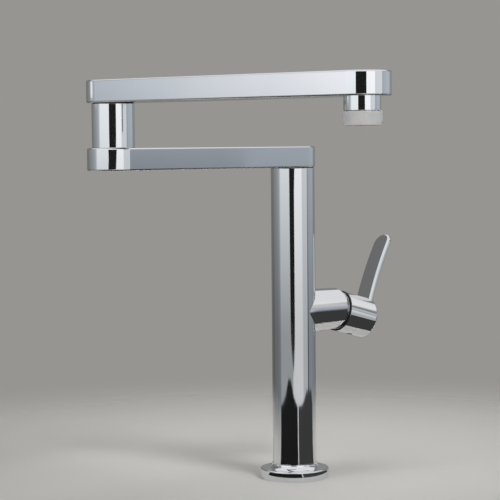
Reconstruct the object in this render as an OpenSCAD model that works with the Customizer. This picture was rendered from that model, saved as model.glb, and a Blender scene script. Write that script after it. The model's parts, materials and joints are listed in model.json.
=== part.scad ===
// Swing-out kitchen sink mixer with a jointed spout, in millimetres.
// A column on a round base flange carries a lower arm, an elbow post, an upper arm and a down-turned outlet.
// A side valve with a ceramic cartridge and a paddle lever sets the flow and the temperature.
// Origin: centre of the base underside, on the deck. +Z is up, +X runs out along the valve, -Y is the front.

/* [Base] */
// Outer diameter of the base flange
flange_d = 55; // [52:0.5:66]
// Height of the flange rim above the deck
flange_h = 8; // [6:0.5:12]
// Rounding of the flange's top edge
flange_edge = 1; // [0.4:0.1:2]
// Height of the foot ring above the flange
foot_ring_h = 4.4; // [3:0.2:5.6]
// Wall of the foot ring at its top edge
foot_ring_t = 0.3; // [0.2:0.05:0.6]
// Hollow rounding from the foot ring down to the flange
foot_cove = 6; // [5.8:0.1:9]
// Thickness of the deck gasket
gasket_t = 1.6; // [1:0.1:3]
// Width of the deck gasket ring
gasket_w = 4.5; // [3:0.5:5]
// Height of the plug in the column foot
base_plug_h = 22; // [20:0.5:30]
// Thread bore of each hose port
port_bore_d = 8.9; // [8:0.1:9.4]
// Depth of each hose port
port_depth = 12; // [9:0.5:13]
// Distance of the hose ports and supply tubes from the column axis
tube_offset = 6; // [5.6:0.1:6.4]
// Thread bore of each fixing stud hole
stud_bore_d = 6.8; // [5:0.1:7]
// Depth of each fixing stud hole
stud_depth = 14; // [8:0.5:16]
// Distance of each stud hole from the column axis
stud_offset = 10.5; // [10:0.1:11]

/* [Column] */
// Outer diameter of the column
column_d = 35; // [34.8:0.1:37]
// Wall of the column tube
column_wall = 2.5; // [2:0.1:2.6]
// Height of the column top above the deck
column_h = 248.5; // [200:0.5:320]
// Length of the spigot's plug inside the column top
spigot_plug_h = 16; // [12:0.5:24]
// Outer diameter of the hot and cold tubes
supply_tube_d = 8; // [7:0.1:8.4]
// Outer diameter of the mixed water riser
riser_d = 10; // [9:0.1:11]
// Wall of the inner tubes
tube_wall = 1; // [0.6:0.1:1.4]
// Depth of the supply tubes' sockets in the base plug
tube_seat = 6; // [4:0.5:7]

/* [Swivel joints] */
// Diameter of the spigot each arm turns on
spigot_d = 16; // [15:0.5:18]
// Height of the spigot inside the arm
spigot_h = 11.5; // [11.5:0.1:12]
// Water bore of the spigot
spigot_bore_d = 9; // [7:0.5:9.5]
// Section of the spigot seal rings
oring_d = 1.75; // [1.5:0.05:1.8]
// Height of the seal rings above the arm underside
oring_z = [7.2, 10];
// Wall of the bearing bush in each arm
bush_wall = 2; // [1.5:0.1:2.5]
// Gap between an arm and the part it turns on
swivel_gap = 0.5; // [0.4:0.05:1]
// How far each bearing washer is set back from the outer edge
washer_inset = 0.8; // [0.5:0.1:3]
// Diameter of the arm retaining screws
arm_screw_d = 4; // [3:0.1:4.4]
// Length of the arm retaining screws
arm_screw_len = 8; // [6:0.5:9]
// Height of the retaining screws above the arm underside
arm_screw_z = 3.6; // [3.4:0.05:3.8]

/* [Arms] */
// Thickness of both arms
arm_t = 16.5; // [16.5:0.1:20]
// Width of the arms at the elbow and the outlet
arm_w = 39; // [37:0.5:46]
// Rounding of the arm edges
arm_edge = 1.2; // [0.5:0.1:1.5]
// Length of the lower arm from column axis to elbow axis
lower_arm_len = 180; // [120:1:240]
// Length of the upper arm from elbow axis to outlet axis
upper_arm_len = 218; // [120:1:280]
// Direction of the lower arm as pictured
lower_arm_angle = 185; // [0:1:360]
// Direction of the upper arm as pictured
upper_arm_angle = -74.5; // [-180:0.5:180]
// Width of the water channel in the arms
channel_w = 22; // [14:0.5:26]
// Floor thickness under the water channel
arm_floor = 5; // [4:0.1:6]
// Roof thickness over the water channel
arm_roof = 2.5; // [1.5:0.1:3]
// Diameter of the elbow post
post_d = 31.5; // [30:0.5:36]
// Height of the elbow post
post_h = 32.3; // [24:0.5:60]
// Wall of the elbow post
post_wall = 2.75; // [2:0.05:3]
// Thread diameter that holds the elbow spigot in the lower arm
post_thread_d = 18; // [14:0.5:19]

/* [Outlet] */
// Diameter of the outlet neck
neck_d = 25; // [24.6:0.1:28]
// Height of the outlet neck
neck_h = 9.6; // [8:0.1:14]
// Thread diameter that holds the neck in the upper arm
neck_thread_d = 21; // [19:0.1:21.4]
// Water bore of the neck
neck_bore_d = 17; // [14:0.5:17.5]
// Diameter of the frosted collar
collar_d = 26.4; // [25:0.1:30]
// Height of the frosted collar
collar_h = 9.8; // [9.4:0.1:14]
// Gap between neck and collar
collar_gap = 0.2; // [0.1:0.05:0.3]
// Wall of the frosted collar
collar_wall = 2; // [1.4:0.1:2.4]
// Diameter of each hole in the flow straightener
straightener_hole_d = 2.8; // [2:0.1:3]

/* [Valve body] */
// Height of the valve axis above the deck
valve_z = 133.5; // [100:0.5:170]
// Diameter of the valve sleeve at the column
sleeve_d = 34.6; // [33.8:0.1:34.6]
// Diameter of the valve sleeve at its outer end
sleeve_end_d = 33.4; // [33:0.1:33.6]
// How far the valve sleeve reaches past the tilt pin
sleeve_past_pin = 5.5; // [5:0.1:5.8]
// Chamfer on the outer end of the sleeve
sleeve_chamfer = 0.8; // [0.4:0.1:1]
// Diameter of the valve housing neck
housing_d = 28; // [27.6:0.1:28.6]
// Diameter of the drilled block inside the column
block_d = 24; // [23:0.1:24.4]
// How far the block reaches past the column axis
block_back = 8; // [7:0.1:8.2]
// Distance of the cartridge seat from the column axis
seat_x = 15; // [14.5:0.1:15.5]
// Bore of the drilled water ways in the block
way_d = 4.4; // [3.6:0.1:4.6]
// Distance of the mixed water way above the valve axis
mixed_way_z = 6; // [5.6:0.1:6.4]
// Distance of the supply ways below the valve axis
supply_way_z = 3; // [2.8:0.1:3.2]

/* [Cartridge] */
// Outer diameter of the cartridge
cartridge_d = 25; // [24.6:0.1:25.2]
// Wall of the cartridge case
case_wall = 2; // [1.8:0.1:2.1]
// Thickness of the cartridge base
case_base = 3; // [2.5:0.1:3.2]
// Thickness of the seat seals
seal_t = 1.4; // [1:0.1:1.6]
// How far the seat seals stand out of the cartridge base
seal_proud = 0.5; // [0.3:0.1:0.6]
// Thickness of each ceramic disc
disc_t = 3; // [2.6:0.1:3.2]
// Diameter of the moving disc
moving_disc_d = 15; // [14.4:0.1:15.4]
// Height of the disc carrier
carrier_h = 4.45; // [4.2:0.05:4.6]
// Height of the rotor that the lever turns
rotor_h = 11; // [10.5:0.1:11.5]
// Distance of the tilt pin from the inner end of the rotor
pin_in = 8.5; // [8.2:0.1:8.8]
// Diameter of the tilt pin
pin_d = 3; // [2.5:0.1:3.4]
// Thickness of the cartridge cap
cap_t = 1.5; // [1.2:0.1:1.8]
// Hole of the cartridge cap
cap_hole_d = 17.8; // [17:0.1:18.2]
// Height of the gland nut
nut_h = 4; // [3.5:0.1:4.5]
// Size of the hexagon socket in the gland nut, across corners
nut_hex = 21.2; // [20.6:0.1:21.6]

/* [Lever] */
// Rounding radius of the bonnet dome about the tilt pin
dome_r = 17.1; // [17:0.05:17.2]
// Hole in the top of the bonnet dome
dome_hole_d = 22; // [21.6:0.1:23]
// Depth of the flat around the hole in the dome
dome_land = 0.5; // [0.3:0.1:0.8]
// Clearance between the dome and the lever hub
dome_gap = 0.5; // [0.4:0.05:0.6]
// Angle of the hub below level as pictured, nought when shut
lever_tilt = 15.5; // [0:0.5:25]
// Lean of the lever to the back as pictured, nought when upright
lever_turn = 8; // [-45:1:45]
// Diameter of the lever hub
hub_d = 32.8; // [32.6:0.1:33.2]
// Distance from the tilt pin to the outer end of the hub
hub_reach = 38.2; // [37.8:0.1:44]
// Rounding of the hub's outer end
hub_edge = 2.2; // [1:0.1:3]
// Distance from the tilt pin to the slip ring
slip_ring_in = 8.2; // [8:0.1:8.6]
// Thickness of the slip ring
slip_ring_t = 1.4; // [1.2:0.1:1.8]
// Diameter of the slip ring
slip_ring_d = 33.2; // [33:0.1:33.6]
// Width of the square stem
stem_w = 7; // [6.6:0.1:7.2]
// Reach of the stem beyond the tilt pin
stem_reach = 27; // [24:0.5:28]
// Distance from the tilt pin to the centre of the stem's ball
ball_arm = 10.5; // [10.3:0.1:10.6]
// Diameter of the stem's ball
ball_d = 5; // [4.6:0.1:5.2]
// Distance from the tilt pin to the lever blade
blade_in = 30.6; // [30:0.1:31]
// Height of the blade above the hub axis
blade_h = 76; // [56:0.5:96]
// Width of the blade
blade_w = 18.4; // [17:0.2:22]
// Thickness of the blade
blade_t = 4.2; // [3:0.1:4.6]
// Corner rounding of the blade's free end
blade_corner = 8.2; // [2:0.1:8.4]
// Outward rake of the blade from square to the hub
blade_rake = 13.2; // [11:0.1:14]
// Radius of the blade's outward bow
blade_bow = 345; // [250:5:600]
// Height on the blade where the rake is taken
blade_bow_z = 40; // [36:1:44]
// How deep the blade's foot sits inside the hub, from the hub axis
blade_foot = 7; // [6:0.5:10]
// Diameter of the lever's grub screw
lever_screw_d = 5; // [4:0.1:6]
// Distance of the grub screw from the tilt pin
lever_screw_in = 23; // [22:0.1:24]

/* [Fits] */
// Radial clearance of turning parts
run_gap = 0.05; // [0.03:0.01:0.08]
// Radial clearance of parts fixed together
fit_gap = 0.02; // [0.01:0.005:0.03]
// Free play between loosely stacked inner parts
play = 0.3; // [0.2:0.05:0.35]

/* [Hidden] */
$fn = 96;

chrome = [0.80, 0.81, 0.83];
brass = [0.72, 0.58, 0.32];
copper = [0.72, 0.45, 0.32];
steel = [0.62, 0.63, 0.65];
rubber = [0.06, 0.06, 0.06];
black_plastic = [0.08, 0.08, 0.09];
white_plastic = [0.88, 0.88, 0.86];
frosted = [0.80, 0.81, 0.81];
ceramic = [0.93, 0.92, 0.88];

// Base and column
flange_r = flange_d / 2;
column_r = column_d / 2;
column_bore_r = column_r - column_wall;
foot_ring_r = column_r + foot_ring_t;
foot_flare = foot_cove - sqrt(foot_cove * foot_cove - foot_ring_h * foot_ring_h);
gasket_mid_r = (column_r + flange_r) / 2;
column_foot_z = gasket_t;
plug_top_z = column_foot_z + base_plug_h;
tube_foot_z = plug_top_z - tube_seat;
tube_r = supply_tube_d / 2;
riser_r = riser_d / 2;

// Swivels and arms
spigot_r = spigot_d / 2;
bush_in_r = spigot_r + run_gap;
bush_out_r = bush_in_r + bush_wall;
bush_seat_r = bush_out_r + fit_gap;
oring_mid_r = bush_in_r - 0.02 - oring_d / 2;
groove_r = oring_mid_r - oring_d / 2 - fit_gap;
groove_w = oring_d + play;
arm_screw_r = arm_screw_d / 2;
screw_groove_r = spigot_r - 1.2;
screw_tip_r = screw_groove_r + 0.2;
screw_nose_r = arm_screw_r / 2;
screw_groove_w = 2 * screw_nose_r + 0.6;
arm_r = arm_w / 2;
arm_setback = arm_r - column_r;
channel_top_z = arm_t - arm_roof;
bush_top_z = spigot_h;
lower_arm_z = column_h + swivel_gap;
post_z = lower_arm_z + arm_t;
post_top_z = post_z + post_h;
upper_arm_z = post_top_z + swivel_gap;
elbow_x = lower_arm_len * cos(lower_arm_angle);
elbow_y = lower_arm_len * sin(lower_arm_angle);
post_r = post_d / 2;
spool_r = post_r - post_wall - fit_gap;
post_thread_r = post_thread_d / 2;
post_thread_h = 4;
spool_flange_h = 6;
post_seal_t = 1;

// Outlet, measured down from the underside of the upper arm
neck_r = neck_d / 2;
neck_thread_r = neck_thread_d / 2;
collar_r = collar_d / 2;
collar_top_z = -neck_h - collar_gap;
collar_foot_z = collar_top_z - collar_h;
collar_bore_r = collar_r - collar_wall;
collar_spigot_r = neck_r - 1.6;
collar_spigot_h = 4.8;
collar_web = 1.4;
insert_r = collar_bore_r - fit_gap;
aerator_washer_t = 1.4;
screen_t = 0.6;
washer_z = collar_top_z - collar_web - aerator_washer_t;
screen_z = washer_z - screen_t;
straightener_h = collar_h - collar_web - aerator_washer_t - screen_t - 0.8;
straightener_z = screen_z - straightener_h;
hole_pitch = (insert_r - 1.2 - straightener_hole_d / 2) / 2;

// Valve, measured out along the valve axis from the column axis
cartridge_r = cartridge_d / 2;
housing_r = housing_d / 2;
housing_bore_r = cartridge_r + run_gap;
block_r = block_d / 2;
way_r = way_d / 2;
case_x = seat_x + seal_proud;
case_bore_r = cartridge_r - case_wall;
disc_x = case_x + case_base;
moving_x = disc_x + disc_t + run_gap;
carrier_x = moving_x + disc_t;
rotor_x = carrier_x + carrier_h + play;
rotor_r = case_bore_r - 2 * run_gap;
pivot_x = rotor_x + pin_in;
rotor_end_x = rotor_x + rotor_h;
cap_x = rotor_end_x + play;
nut_x = cap_x + cap_t;
housing_end_x = nut_x + nut_h - 0.8;
sleeve_end_x = pivot_x + sleeve_past_pin;
sleeve_end_r = sleeve_end_d / 2;
dome_foot_r = sleeve_end_r - sleeve_chamfer;
dome_hole_r = dome_hole_d / 2;
dome_top = sqrt(dome_r * dome_r - dome_hole_r * dome_hole_r) - dome_land;
hub_cavity_r = dome_r + dome_gap;
hub_r = hub_d / 2;
hub_in = slip_ring_in + slip_ring_t;
slip_ring_bore_r = sqrt(hub_cavity_r * hub_cavity_r - slip_ring_in * slip_ring_in);
ball_r = ball_d / 2;
disc_shift = ball_arm * sin(lever_tilt);
carrier_r = moving_disc_d / 2 - 0.4;
pin_r = pin_d / 2;
slot_w = stem_w + 0.4;
slot_h = 2 * (rotor_r - 1.8);
lever_screw_r = lever_screw_d / 2;
lever_screw_top = stem_w / 2;
lever_screw_end = hub_r - 1.5;

module along_x() {
    rotate([0, 90, 0]) children();
}

module at_valve() {
    translate([0, 0, valve_z]) children();
}

module at_turret() {
    at_valve() rotate([-lever_turn, 0, 0]) children();
}

module at_lever() {
    at_turret() translate([pivot_x, 0, 0]) rotate([0, lever_tilt, 0]) children();
}

module at_lower_arm() {
    translate([0, 0, lower_arm_z]) rotate([0, 0, lower_arm_angle]) children();
}

module at_elbow() {
    translate([elbow_x, elbow_y, post_z]) rotate([0, 0, upper_arm_angle]) children();
}

module at_upper_arm() {
    translate([elbow_x, elbow_y, upper_arm_z]) rotate([0, 0, upper_arm_angle]) children();
}

module at_outlet() {
    at_upper_arm() translate([upper_arm_len, 0, 0]) children();
}

// A plain ring standing on its underside
module ring(ro, ri, h) {
    difference() {
        cylinder(r = ro, h = h);
        translate([0, 0, -1]) cylinder(r = ri, h = h + 2);
    }
}

// Half of an arm's cross-section, from its middle out to a rounded side
module half_section(r, t, e) {
    square([r - e, t]);
    translate([0, e]) square([r, t - 2 * e]);
    translate([r - e, e]) circle(r = e);
    translate([r - e, t - e]) circle(r = e);
}

// A flat bar with half-round ends and rounded edges all round
module arm_bar(len) {
    rotate([0, 0, 90]) rotate_extrude(angle = 180) half_section(arm_r, arm_t, arm_edge);
    translate([len, 0, 0])
        rotate([0, 0, -90]) rotate_extrude(angle = 180) half_section(arm_r, arm_t, arm_edge);
    for (side = [0, 1])
        mirror([0, side, 0])
            rotate([90, 0, 90]) linear_extrude(height = len) half_section(arm_r, arm_t, arm_edge);
}

// The socket that turns on a spigot, with its water gallery, channel and screw hole
module arm_socket_cut(len, r1) {
    translate([0, 0, -1]) cylinder(r = bush_seat_r, h = bush_top_z + 1);
    translate([0, 0, bush_top_z - 0.5]) cylinder(r = channel_w / 2, h = channel_top_z - bush_top_z + 0.5);
    translate([0, -channel_w / 2, bush_top_z - 0.5]) cube([len / 2, channel_w, channel_top_z - bush_top_z + 0.5]);
    translate([bush_seat_r + 3, -channel_w / 2, arm_floor])
        cube([len - bush_seat_r + 2, channel_w, channel_top_z - arm_floor]);
    translate([-r1 - 1, 0, arm_screw_z]) along_x() cylinder(r = arm_screw_r + fit_gap, h = r1);
}

// The bush pressed into an arm's socket
module bush() {
    difference() {
        translate([0, 0, 0.2]) ring(bush_out_r, bush_in_r, bush_top_z - 0.7);
        translate([-bush_out_r - 1, 0, arm_screw_z]) along_x() cylinder(r = arm_screw_r + 0.1, h = bush_out_r);
    }
}

// A headless screw whose nose runs in the spigot's groove
module arm_screw() {
    nose = screw_tip_r;
    body = bush_in_r + 0.4;
    difference() {
        union() {
            translate([-body, 0, arm_screw_z]) rotate([0, -90, 0]) cylinder(r = arm_screw_r, h = arm_screw_len);
            translate([-nose, 0, arm_screw_z]) rotate([0, -90, 0]) cylinder(r = screw_nose_r, h = body - nose + 1);
        }
        translate([-body - arm_screw_len + 2.5, 0, arm_screw_z])
            rotate([0, -90, 0]) cylinder(r = arm_screw_r * 0.55, h = 3, $fn = 6);
    }
}

// The grooved spigot above a swivel face
module spigot() {
    difference() {
        cylinder(r = spigot_r, h = swivel_gap + spigot_h);
        for (z = oring_z)
            translate([0, 0, swivel_gap + z - groove_w / 2]) ring(spigot_r + 2, groove_r, groove_w);
        translate([0, 0, swivel_gap + arm_screw_z - screw_groove_w / 2])
            ring(spigot_r + 2, screw_groove_r, screw_groove_w);
    }
}

module seal_rings() {
    for (z = oring_z)
        translate([0, 0, swivel_gap + z]) rotate_extrude() translate([oring_mid_r, 0]) circle(d = oring_d);
}

// The three water ways of the cartridge seat, along the valve axis
module seat_ways(r, h) {
    for (side = [-1, 1])
        translate([0, side * tube_offset, -supply_way_z]) along_x() cylinder(r = r, h = h);
    translate([0, 0, mixed_way_z]) along_x() cylinder(r = r, h = h);
}

// Holes on a centre, an inner circle and an outer circle
module hole_rosette(r, pitch, h) {
    cylinder(r = r, h = h);
    for (a = [0 : 60 : 300])
        rotate([0, 0, a]) translate([pitch, 0, 0]) cylinder(r = r, h = h);
    for (a = [15 : 30 : 345])
        rotate([0, 0, a]) translate([2 * pitch, 0, 0]) cylinder(r = r, h = h);
}

module base_gasket() {
    color(rubber)
        ring(gasket_mid_r + gasket_w / 2, gasket_mid_r - gasket_w / 2, gasket_t);
}

module base_flange() {
    color(chrome)
        difference() {
            rotate_extrude() {
                square([flange_r, flange_h - flange_edge]);
                square([flange_r - flange_edge, flange_h]);
                translate([flange_r - flange_edge, flange_h - flange_edge]) circle(r = flange_edge);
                difference() {
                    square([foot_ring_r + foot_flare, flange_h + foot_ring_h]);
                    translate([foot_ring_r + foot_cove, flange_h + foot_ring_h]) circle(r = foot_cove);
                }
            }
            translate([0, 0, -1]) cylinder(r = column_r + fit_gap, h = flange_h + foot_ring_h + 2);
            translate([0, 0, -1])
                ring(gasket_mid_r + gasket_w / 2 + fit_gap, gasket_mid_r - gasket_w / 2 - fit_gap, gasket_t + 1);
        }
}

module column_tube() {
    color(chrome)
        difference() {
            translate([0, 0, column_foot_z]) ring(column_r, column_bore_r, column_h - column_foot_z);
            at_valve() along_x() cylinder(r = housing_r + fit_gap, h = column_r + 2);
        }
}

module base_plug() {
    color(brass)
        difference() {
            translate([0, 0, column_foot_z]) cylinder(r = column_bore_r - fit_gap, h = base_plug_h);
            for (side = [-1, 1]) {
                translate([0, side * tube_offset, column_foot_z - 1])
                    cylinder(r = port_bore_d / 2, h = port_depth + 1);
                translate([0, side * tube_offset, column_foot_z]) cylinder(r = tube_r - tube_wall, h = base_plug_h);
                translate([0, side * tube_offset, tube_foot_z]) cylinder(r = tube_r + fit_gap, h = base_plug_h);
                translate([side * stud_offset, 0, column_foot_z - 1])
                    cylinder(r = stud_bore_d / 2, h = stud_depth + 1);
            }
        }
}

// One straight supply tube from the base plug to the valve block
module supply_tube(side) {
    translate([0, side * tube_offset, tube_foot_z])
        ring(tube_r, tube_r - tube_wall, valve_z - 2 * supply_way_z - tube_foot_z);
}

module hot_tube() {
    color(copper) supply_tube(-1);
}

module cold_tube() {
    color(copper) supply_tube(1);
}

module mixed_riser() {
    foot = valve_z + mixed_way_z + 1.5;
    color(copper)
        translate([0, 0, foot]) ring(riser_r, riser_r - tube_wall, column_h - spigot_plug_h / 2 - foot);
}

module valve_housing() {
    color(brass)
        difference() {
            at_valve() along_x() {
                translate([0, 0, -block_back]) cylinder(r = block_r, h = block_back + seat_x);
                translate([0, 0, seat_x - 5]) cylinder(r = housing_r, h = housing_end_x - seat_x + 5);
            }
            at_valve() translate([seat_x, 0, 0]) along_x() cylinder(r = housing_bore_r, h = housing_end_x);
            at_valve() translate([-way_r, 0, 0]) seat_ways(way_r, seat_x + way_r + 1);
            for (side = [-1, 1]) {
                translate([0, side * tube_offset, valve_z - block_r - 1])
                    cylinder(r = tube_r + fit_gap, h = block_r + 1 - 2 * supply_way_z);
                translate([0, side * tube_offset, valve_z - block_r])
                    cylinder(r = tube_r - tube_wall - 0.4, h = block_r - supply_way_z);
            }
            translate([0, 0, valve_z + mixed_way_z]) cylinder(r = way_r, h = block_r);
            translate([0, 0, valve_z + mixed_way_z + 1.5]) cylinder(r = riser_r + fit_gap, h = block_r);
        }
}

module valve_sleeve() {
    color(chrome)
        difference() {
            at_valve() along_x() {
                cylinder(r1 = sleeve_d / 2, r2 = sleeve_end_r, h = sleeve_end_x - sleeve_chamfer);
                translate([0, 0, sleeve_end_x - sleeve_chamfer])
                    cylinder(r1 = sleeve_end_r, r2 = dome_foot_r, h = sleeve_chamfer);
            }
            at_valve() along_x()
                translate([0, 0, -1]) cylinder(r = housing_r + fit_gap, h = sleeve_end_x + 2);
            translate([0, 0, valve_z - column_d]) cylinder(r = column_r + fit_gap, h = 2 * column_d);
        }
}

module cartridge_case() {
    color(white_plastic)
        at_valve()
            difference() {
                translate([case_x, 0, 0]) along_x() cylinder(r = cartridge_r, h = cap_x - case_x);
                translate([disc_x, 0, 0]) along_x() cylinder(r = case_bore_r, h = cap_x);
                translate([case_x - 1, 0, 0]) seat_ways(way_r, case_base + 2);
                translate([case_x - 1, 0, 0]) seat_ways(way_r + 1.4 + fit_gap, seal_t - seal_proud + 1);
            }
}

module cartridge_seals() {
    color(rubber)
        at_valve() translate([seat_x, 0, 0])
            difference() {
                seat_ways(way_r + 1.4, seal_t);
                translate([-1, 0, 0]) seat_ways(way_r, seal_t + 2);
            }
}

module fixed_disc() {
    color(ceramic)
        at_valve()
            difference() {
                translate([disc_x, 0, 0]) along_x() cylinder(r = case_bore_r - run_gap, h = disc_t);
                translate([disc_x - 1, 0, 0]) seat_ways(way_r, disc_t + 2);
            }
}

module cartridge_cap() {
    color(white_plastic)
        at_valve() translate([cap_x, 0, 0]) along_x() ring(cartridge_r, cap_hole_d / 2, cap_t);
}

module gland_nut() {
    color(brass)
        at_valve() translate([nut_x, 0, 0]) along_x()
            difference() {
                cylinder(r = cartridge_r, h = nut_h);
                translate([0, 0, -1]) cylinder(d = nut_hex, h = nut_h + 2, $fn = 6);
            }
}

module bonnet() {
    foot = sleeve_end_x - pivot_x;
    rim = housing_end_x - pivot_x;
    color(chrome)
        at_valve() translate([pivot_x, 0, 0]) along_x()
            difference() {
                intersection() {
                    sphere(r = dome_r);
                    translate([0, 0, foot]) cylinder(r = dome_foot_r, h = dome_top - foot);
                }
                translate([0, 0, foot - 1]) cylinder(r = housing_r + fit_gap, h = rim - foot + 1);
                translate([0, 0, rim - 1]) cylinder(r = cartridge_r + fit_gap, h = nut_x + nut_h - pivot_x - rim + 1.2);
                translate([0, 0, foot]) cylinder(r = dome_hole_r, h = dome_r);
            }
}

module column_spigot() {
    color(brass)
        difference() {
            union() {
                translate([0, 0, column_h - spigot_plug_h])
                    cylinder(r = column_bore_r - fit_gap, h = spigot_plug_h);
                translate([0, 0, column_h]) spigot();
            }
            translate([0, 0, column_h - spigot_plug_h - 1])
                cylinder(r = spigot_bore_d / 2, h = spigot_plug_h + swivel_gap + spigot_h + 2);
            translate([0, 0, column_h - spigot_plug_h - 1])
                cylinder(r = riser_r + fit_gap, h = spigot_plug_h / 2 + 1);
        }
}

module column_seal_rings() {
    color(rubber) translate([0, 0, column_h]) seal_rings();
}

module column_washer() {
    color(black_plastic)
        translate([0, 0, column_h]) ring(column_r - washer_inset, spigot_r + play, swivel_gap);
}

module cartridge_rotor() {
    color(white_plastic)
        at_turret()
            difference() {
                translate([rotor_x, 0, 0]) along_x() cylinder(r = rotor_r, h = rotor_h);
                translate([rotor_x - 1, -slot_w / 2, -slot_h / 2]) cube([rotor_h + 2, slot_w, slot_h]);
                translate([pivot_x, 0, 0]) rotate([90, 0, 0])
                    cylinder(r = pin_r + fit_gap, h = 3 * rotor_r, center = true);
            }
}

module tilt_pin() {
    color(steel)
        at_turret() translate([pivot_x, 0, 0]) rotate([90, 0, 0])
            cylinder(r = pin_r, h = 2 * rotor_r - 0.8, center = true);
}

module moving_disc() {
    color(ceramic)
        at_turret() translate([moving_x, 0, 0]) along_x()
            difference() {
                cylinder(d = moving_disc_d, h = disc_t);
                translate([0, 0, -1]) cylinder(d = moving_disc_d * 0.6, h = disc_t / 2 + 1);
            }
}

module disc_carrier() {
    color(white_plastic)
        at_turret() translate([carrier_x, 0, 0]) along_x()
            difference() {
                cylinder(r = carrier_r, h = carrier_h);
                translate([-disc_shift, 0, 0.2]) cylinder(r = ball_r + 0.25, h = carrier_h);
            }
}

module lever_stem() {
    color(steel)
        at_lever()
            difference() {
                union() {
                    translate([-4, -stem_w / 2, -stem_w / 2]) cube([stem_reach + 4, stem_w, stem_w]);
                    translate([-ball_arm, 0, 0]) along_x() cylinder(r = ball_r * 0.8, h = ball_arm);
                    translate([-ball_arm, 0, 0]) sphere(r = ball_r);
                }
                rotate([90, 0, 0]) cylinder(r = pin_r + run_gap, h = 2 * stem_w, center = true);
            }
}

// The raked and bowed plate of the blade, grown by a clearance for its slot
module blade_plate(grow) {
    w = blade_w + 2 * grow;
    translate([blade_in, 0, 0]) rotate([0, blade_rake, 0])
        intersection() {
            translate([-blade_t, 0, 0]) rotate([90, 0, 90])
                linear_extrude(height = 4 * blade_t) {
                    translate([-w / 2, blade_foot - grow]) square([w, blade_h - blade_corner - blade_foot + grow]);
                    translate([blade_corner - w / 2, blade_foot]) square([w - 2 * blade_corner, blade_h - blade_foot]);
                    for (side = [-1, 1])
                        translate([side * (w / 2 - blade_corner), blade_h - blade_corner]) circle(r = blade_corner);
                }
            translate([blade_bow, blade_w, blade_bow_z]) rotate([90, 0, 0])
                ring(blade_bow + blade_t / 2 + grow, blade_bow - blade_t / 2 - grow, 2 * blade_w);
        }
}

module lever_hub() {
    socket_w = stem_w + 2 * fit_gap;
    color(chrome)
        at_lever()
            difference() {
                along_x()
                    rotate_extrude() {
                        translate([0, hub_in]) square([hub_r, hub_reach - hub_edge - hub_in]);
                        translate([0, hub_in]) square([hub_r - hub_edge, hub_reach - hub_in]);
                        intersection() {
                            translate([hub_r - hub_edge, hub_reach - hub_edge]) circle(r = hub_edge);
                            translate([0, hub_in]) square([hub_r + 1, hub_reach]);
                        }
                    }
                sphere(r = hub_cavity_r);
                translate([0, -socket_w / 2, -socket_w / 2]) cube([stem_reach + 0.2, socket_w, socket_w]);
                translate([lever_screw_in, 0, -hub_r - 1]) cylinder(r = lever_screw_r + fit_gap, h = hub_r + 1);
                blade_plate(fit_gap);
            }
}

module slip_ring() {
    color(black_plastic)
        at_lever() translate([slip_ring_in, 0, 0]) along_x() ring(slip_ring_d / 2, slip_ring_bore_r, slip_ring_t);
}

module lever_blade() {
    color(chrome) at_lever() blade_plate(0);
}

module lever_screw() {
    color(steel)
        at_lever() translate([lever_screw_in, 0, 0])
            difference() {
                translate([0, 0, -lever_screw_end]) cylinder(r = lever_screw_r, h = lever_screw_end - lever_screw_top);
                translate([0, 0, -lever_screw_end - 1]) cylinder(r = lever_screw_r * 0.55, h = 4, $fn = 6);
            }
}

module lower_arm() {
    color(chrome)
        at_lower_arm()
            difference() {
                translate([arm_setback, 0, 0]) arm_bar(lower_arm_len - arm_setback);
                arm_socket_cut(lower_arm_len, column_r);
                translate([lower_arm_len, 0, arm_floor]) cylinder(r = channel_w / 2, h = channel_top_z - arm_floor);
                translate([lower_arm_len, 0, arm_floor]) cylinder(r = post_thread_r + fit_gap, h = arm_t);
            }
}

module lower_bush() {
    color(white_plastic) at_lower_arm() bush();
}

module lower_arm_screw() {
    color(steel) at_lower_arm() arm_screw();
}

module elbow_post() {
    color(chrome) at_elbow() ring(post_r, post_r - post_wall, post_h);
}

module post_seal() {
    color(rubber) at_elbow() ring(spool_r - 1.2, post_thread_r + 0.4, post_seal_t);
}

module elbow_spigot() {
    color(brass)
        at_elbow()
            difference() {
                union() {
                    translate([0, 0, -post_thread_h]) cylinder(r = post_thread_r, h = post_thread_h + 1);
                    cylinder(r = spool_r, h = spool_flange_h);
                    cylinder(r = spool_r - 2.5, h = post_h);
                    translate([0, 0, post_h - spool_flange_h]) cylinder(r = spool_r, h = spool_flange_h);
                    translate([0, 0, post_h]) spigot();
                }
                translate([0, 0, -post_thread_h - 1])
                    cylinder(r = spigot_bore_d / 2, h = post_thread_h + post_h + swivel_gap + spigot_h + 2);
                translate([0, 0, -1])
                    ring(spool_r - 1.2 + fit_gap, post_thread_r + 0.4 - fit_gap, post_seal_t + 1);
            }
}

module elbow_seal_rings() {
    color(rubber) at_elbow() translate([0, 0, post_h]) seal_rings();
}

module elbow_washer() {
    color(black_plastic)
        at_elbow() translate([0, 0, post_h]) ring(post_r - washer_inset, spigot_r + play, swivel_gap);
}

module upper_arm() {
    color(chrome)
        at_upper_arm()
            difference() {
                arm_bar(upper_arm_len);
                arm_socket_cut(upper_arm_len, arm_r);
                translate([upper_arm_len, 0, arm_floor]) cylinder(r = channel_w / 2, h = channel_top_z - arm_floor);
                translate([upper_arm_len, 0, -1]) cylinder(r = neck_thread_r + fit_gap, h = arm_floor + 2);
            }
}

module upper_bush() {
    color(white_plastic) at_upper_arm() bush();
}

module upper_arm_screw() {
    color(steel) at_upper_arm() arm_screw();
}

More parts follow.
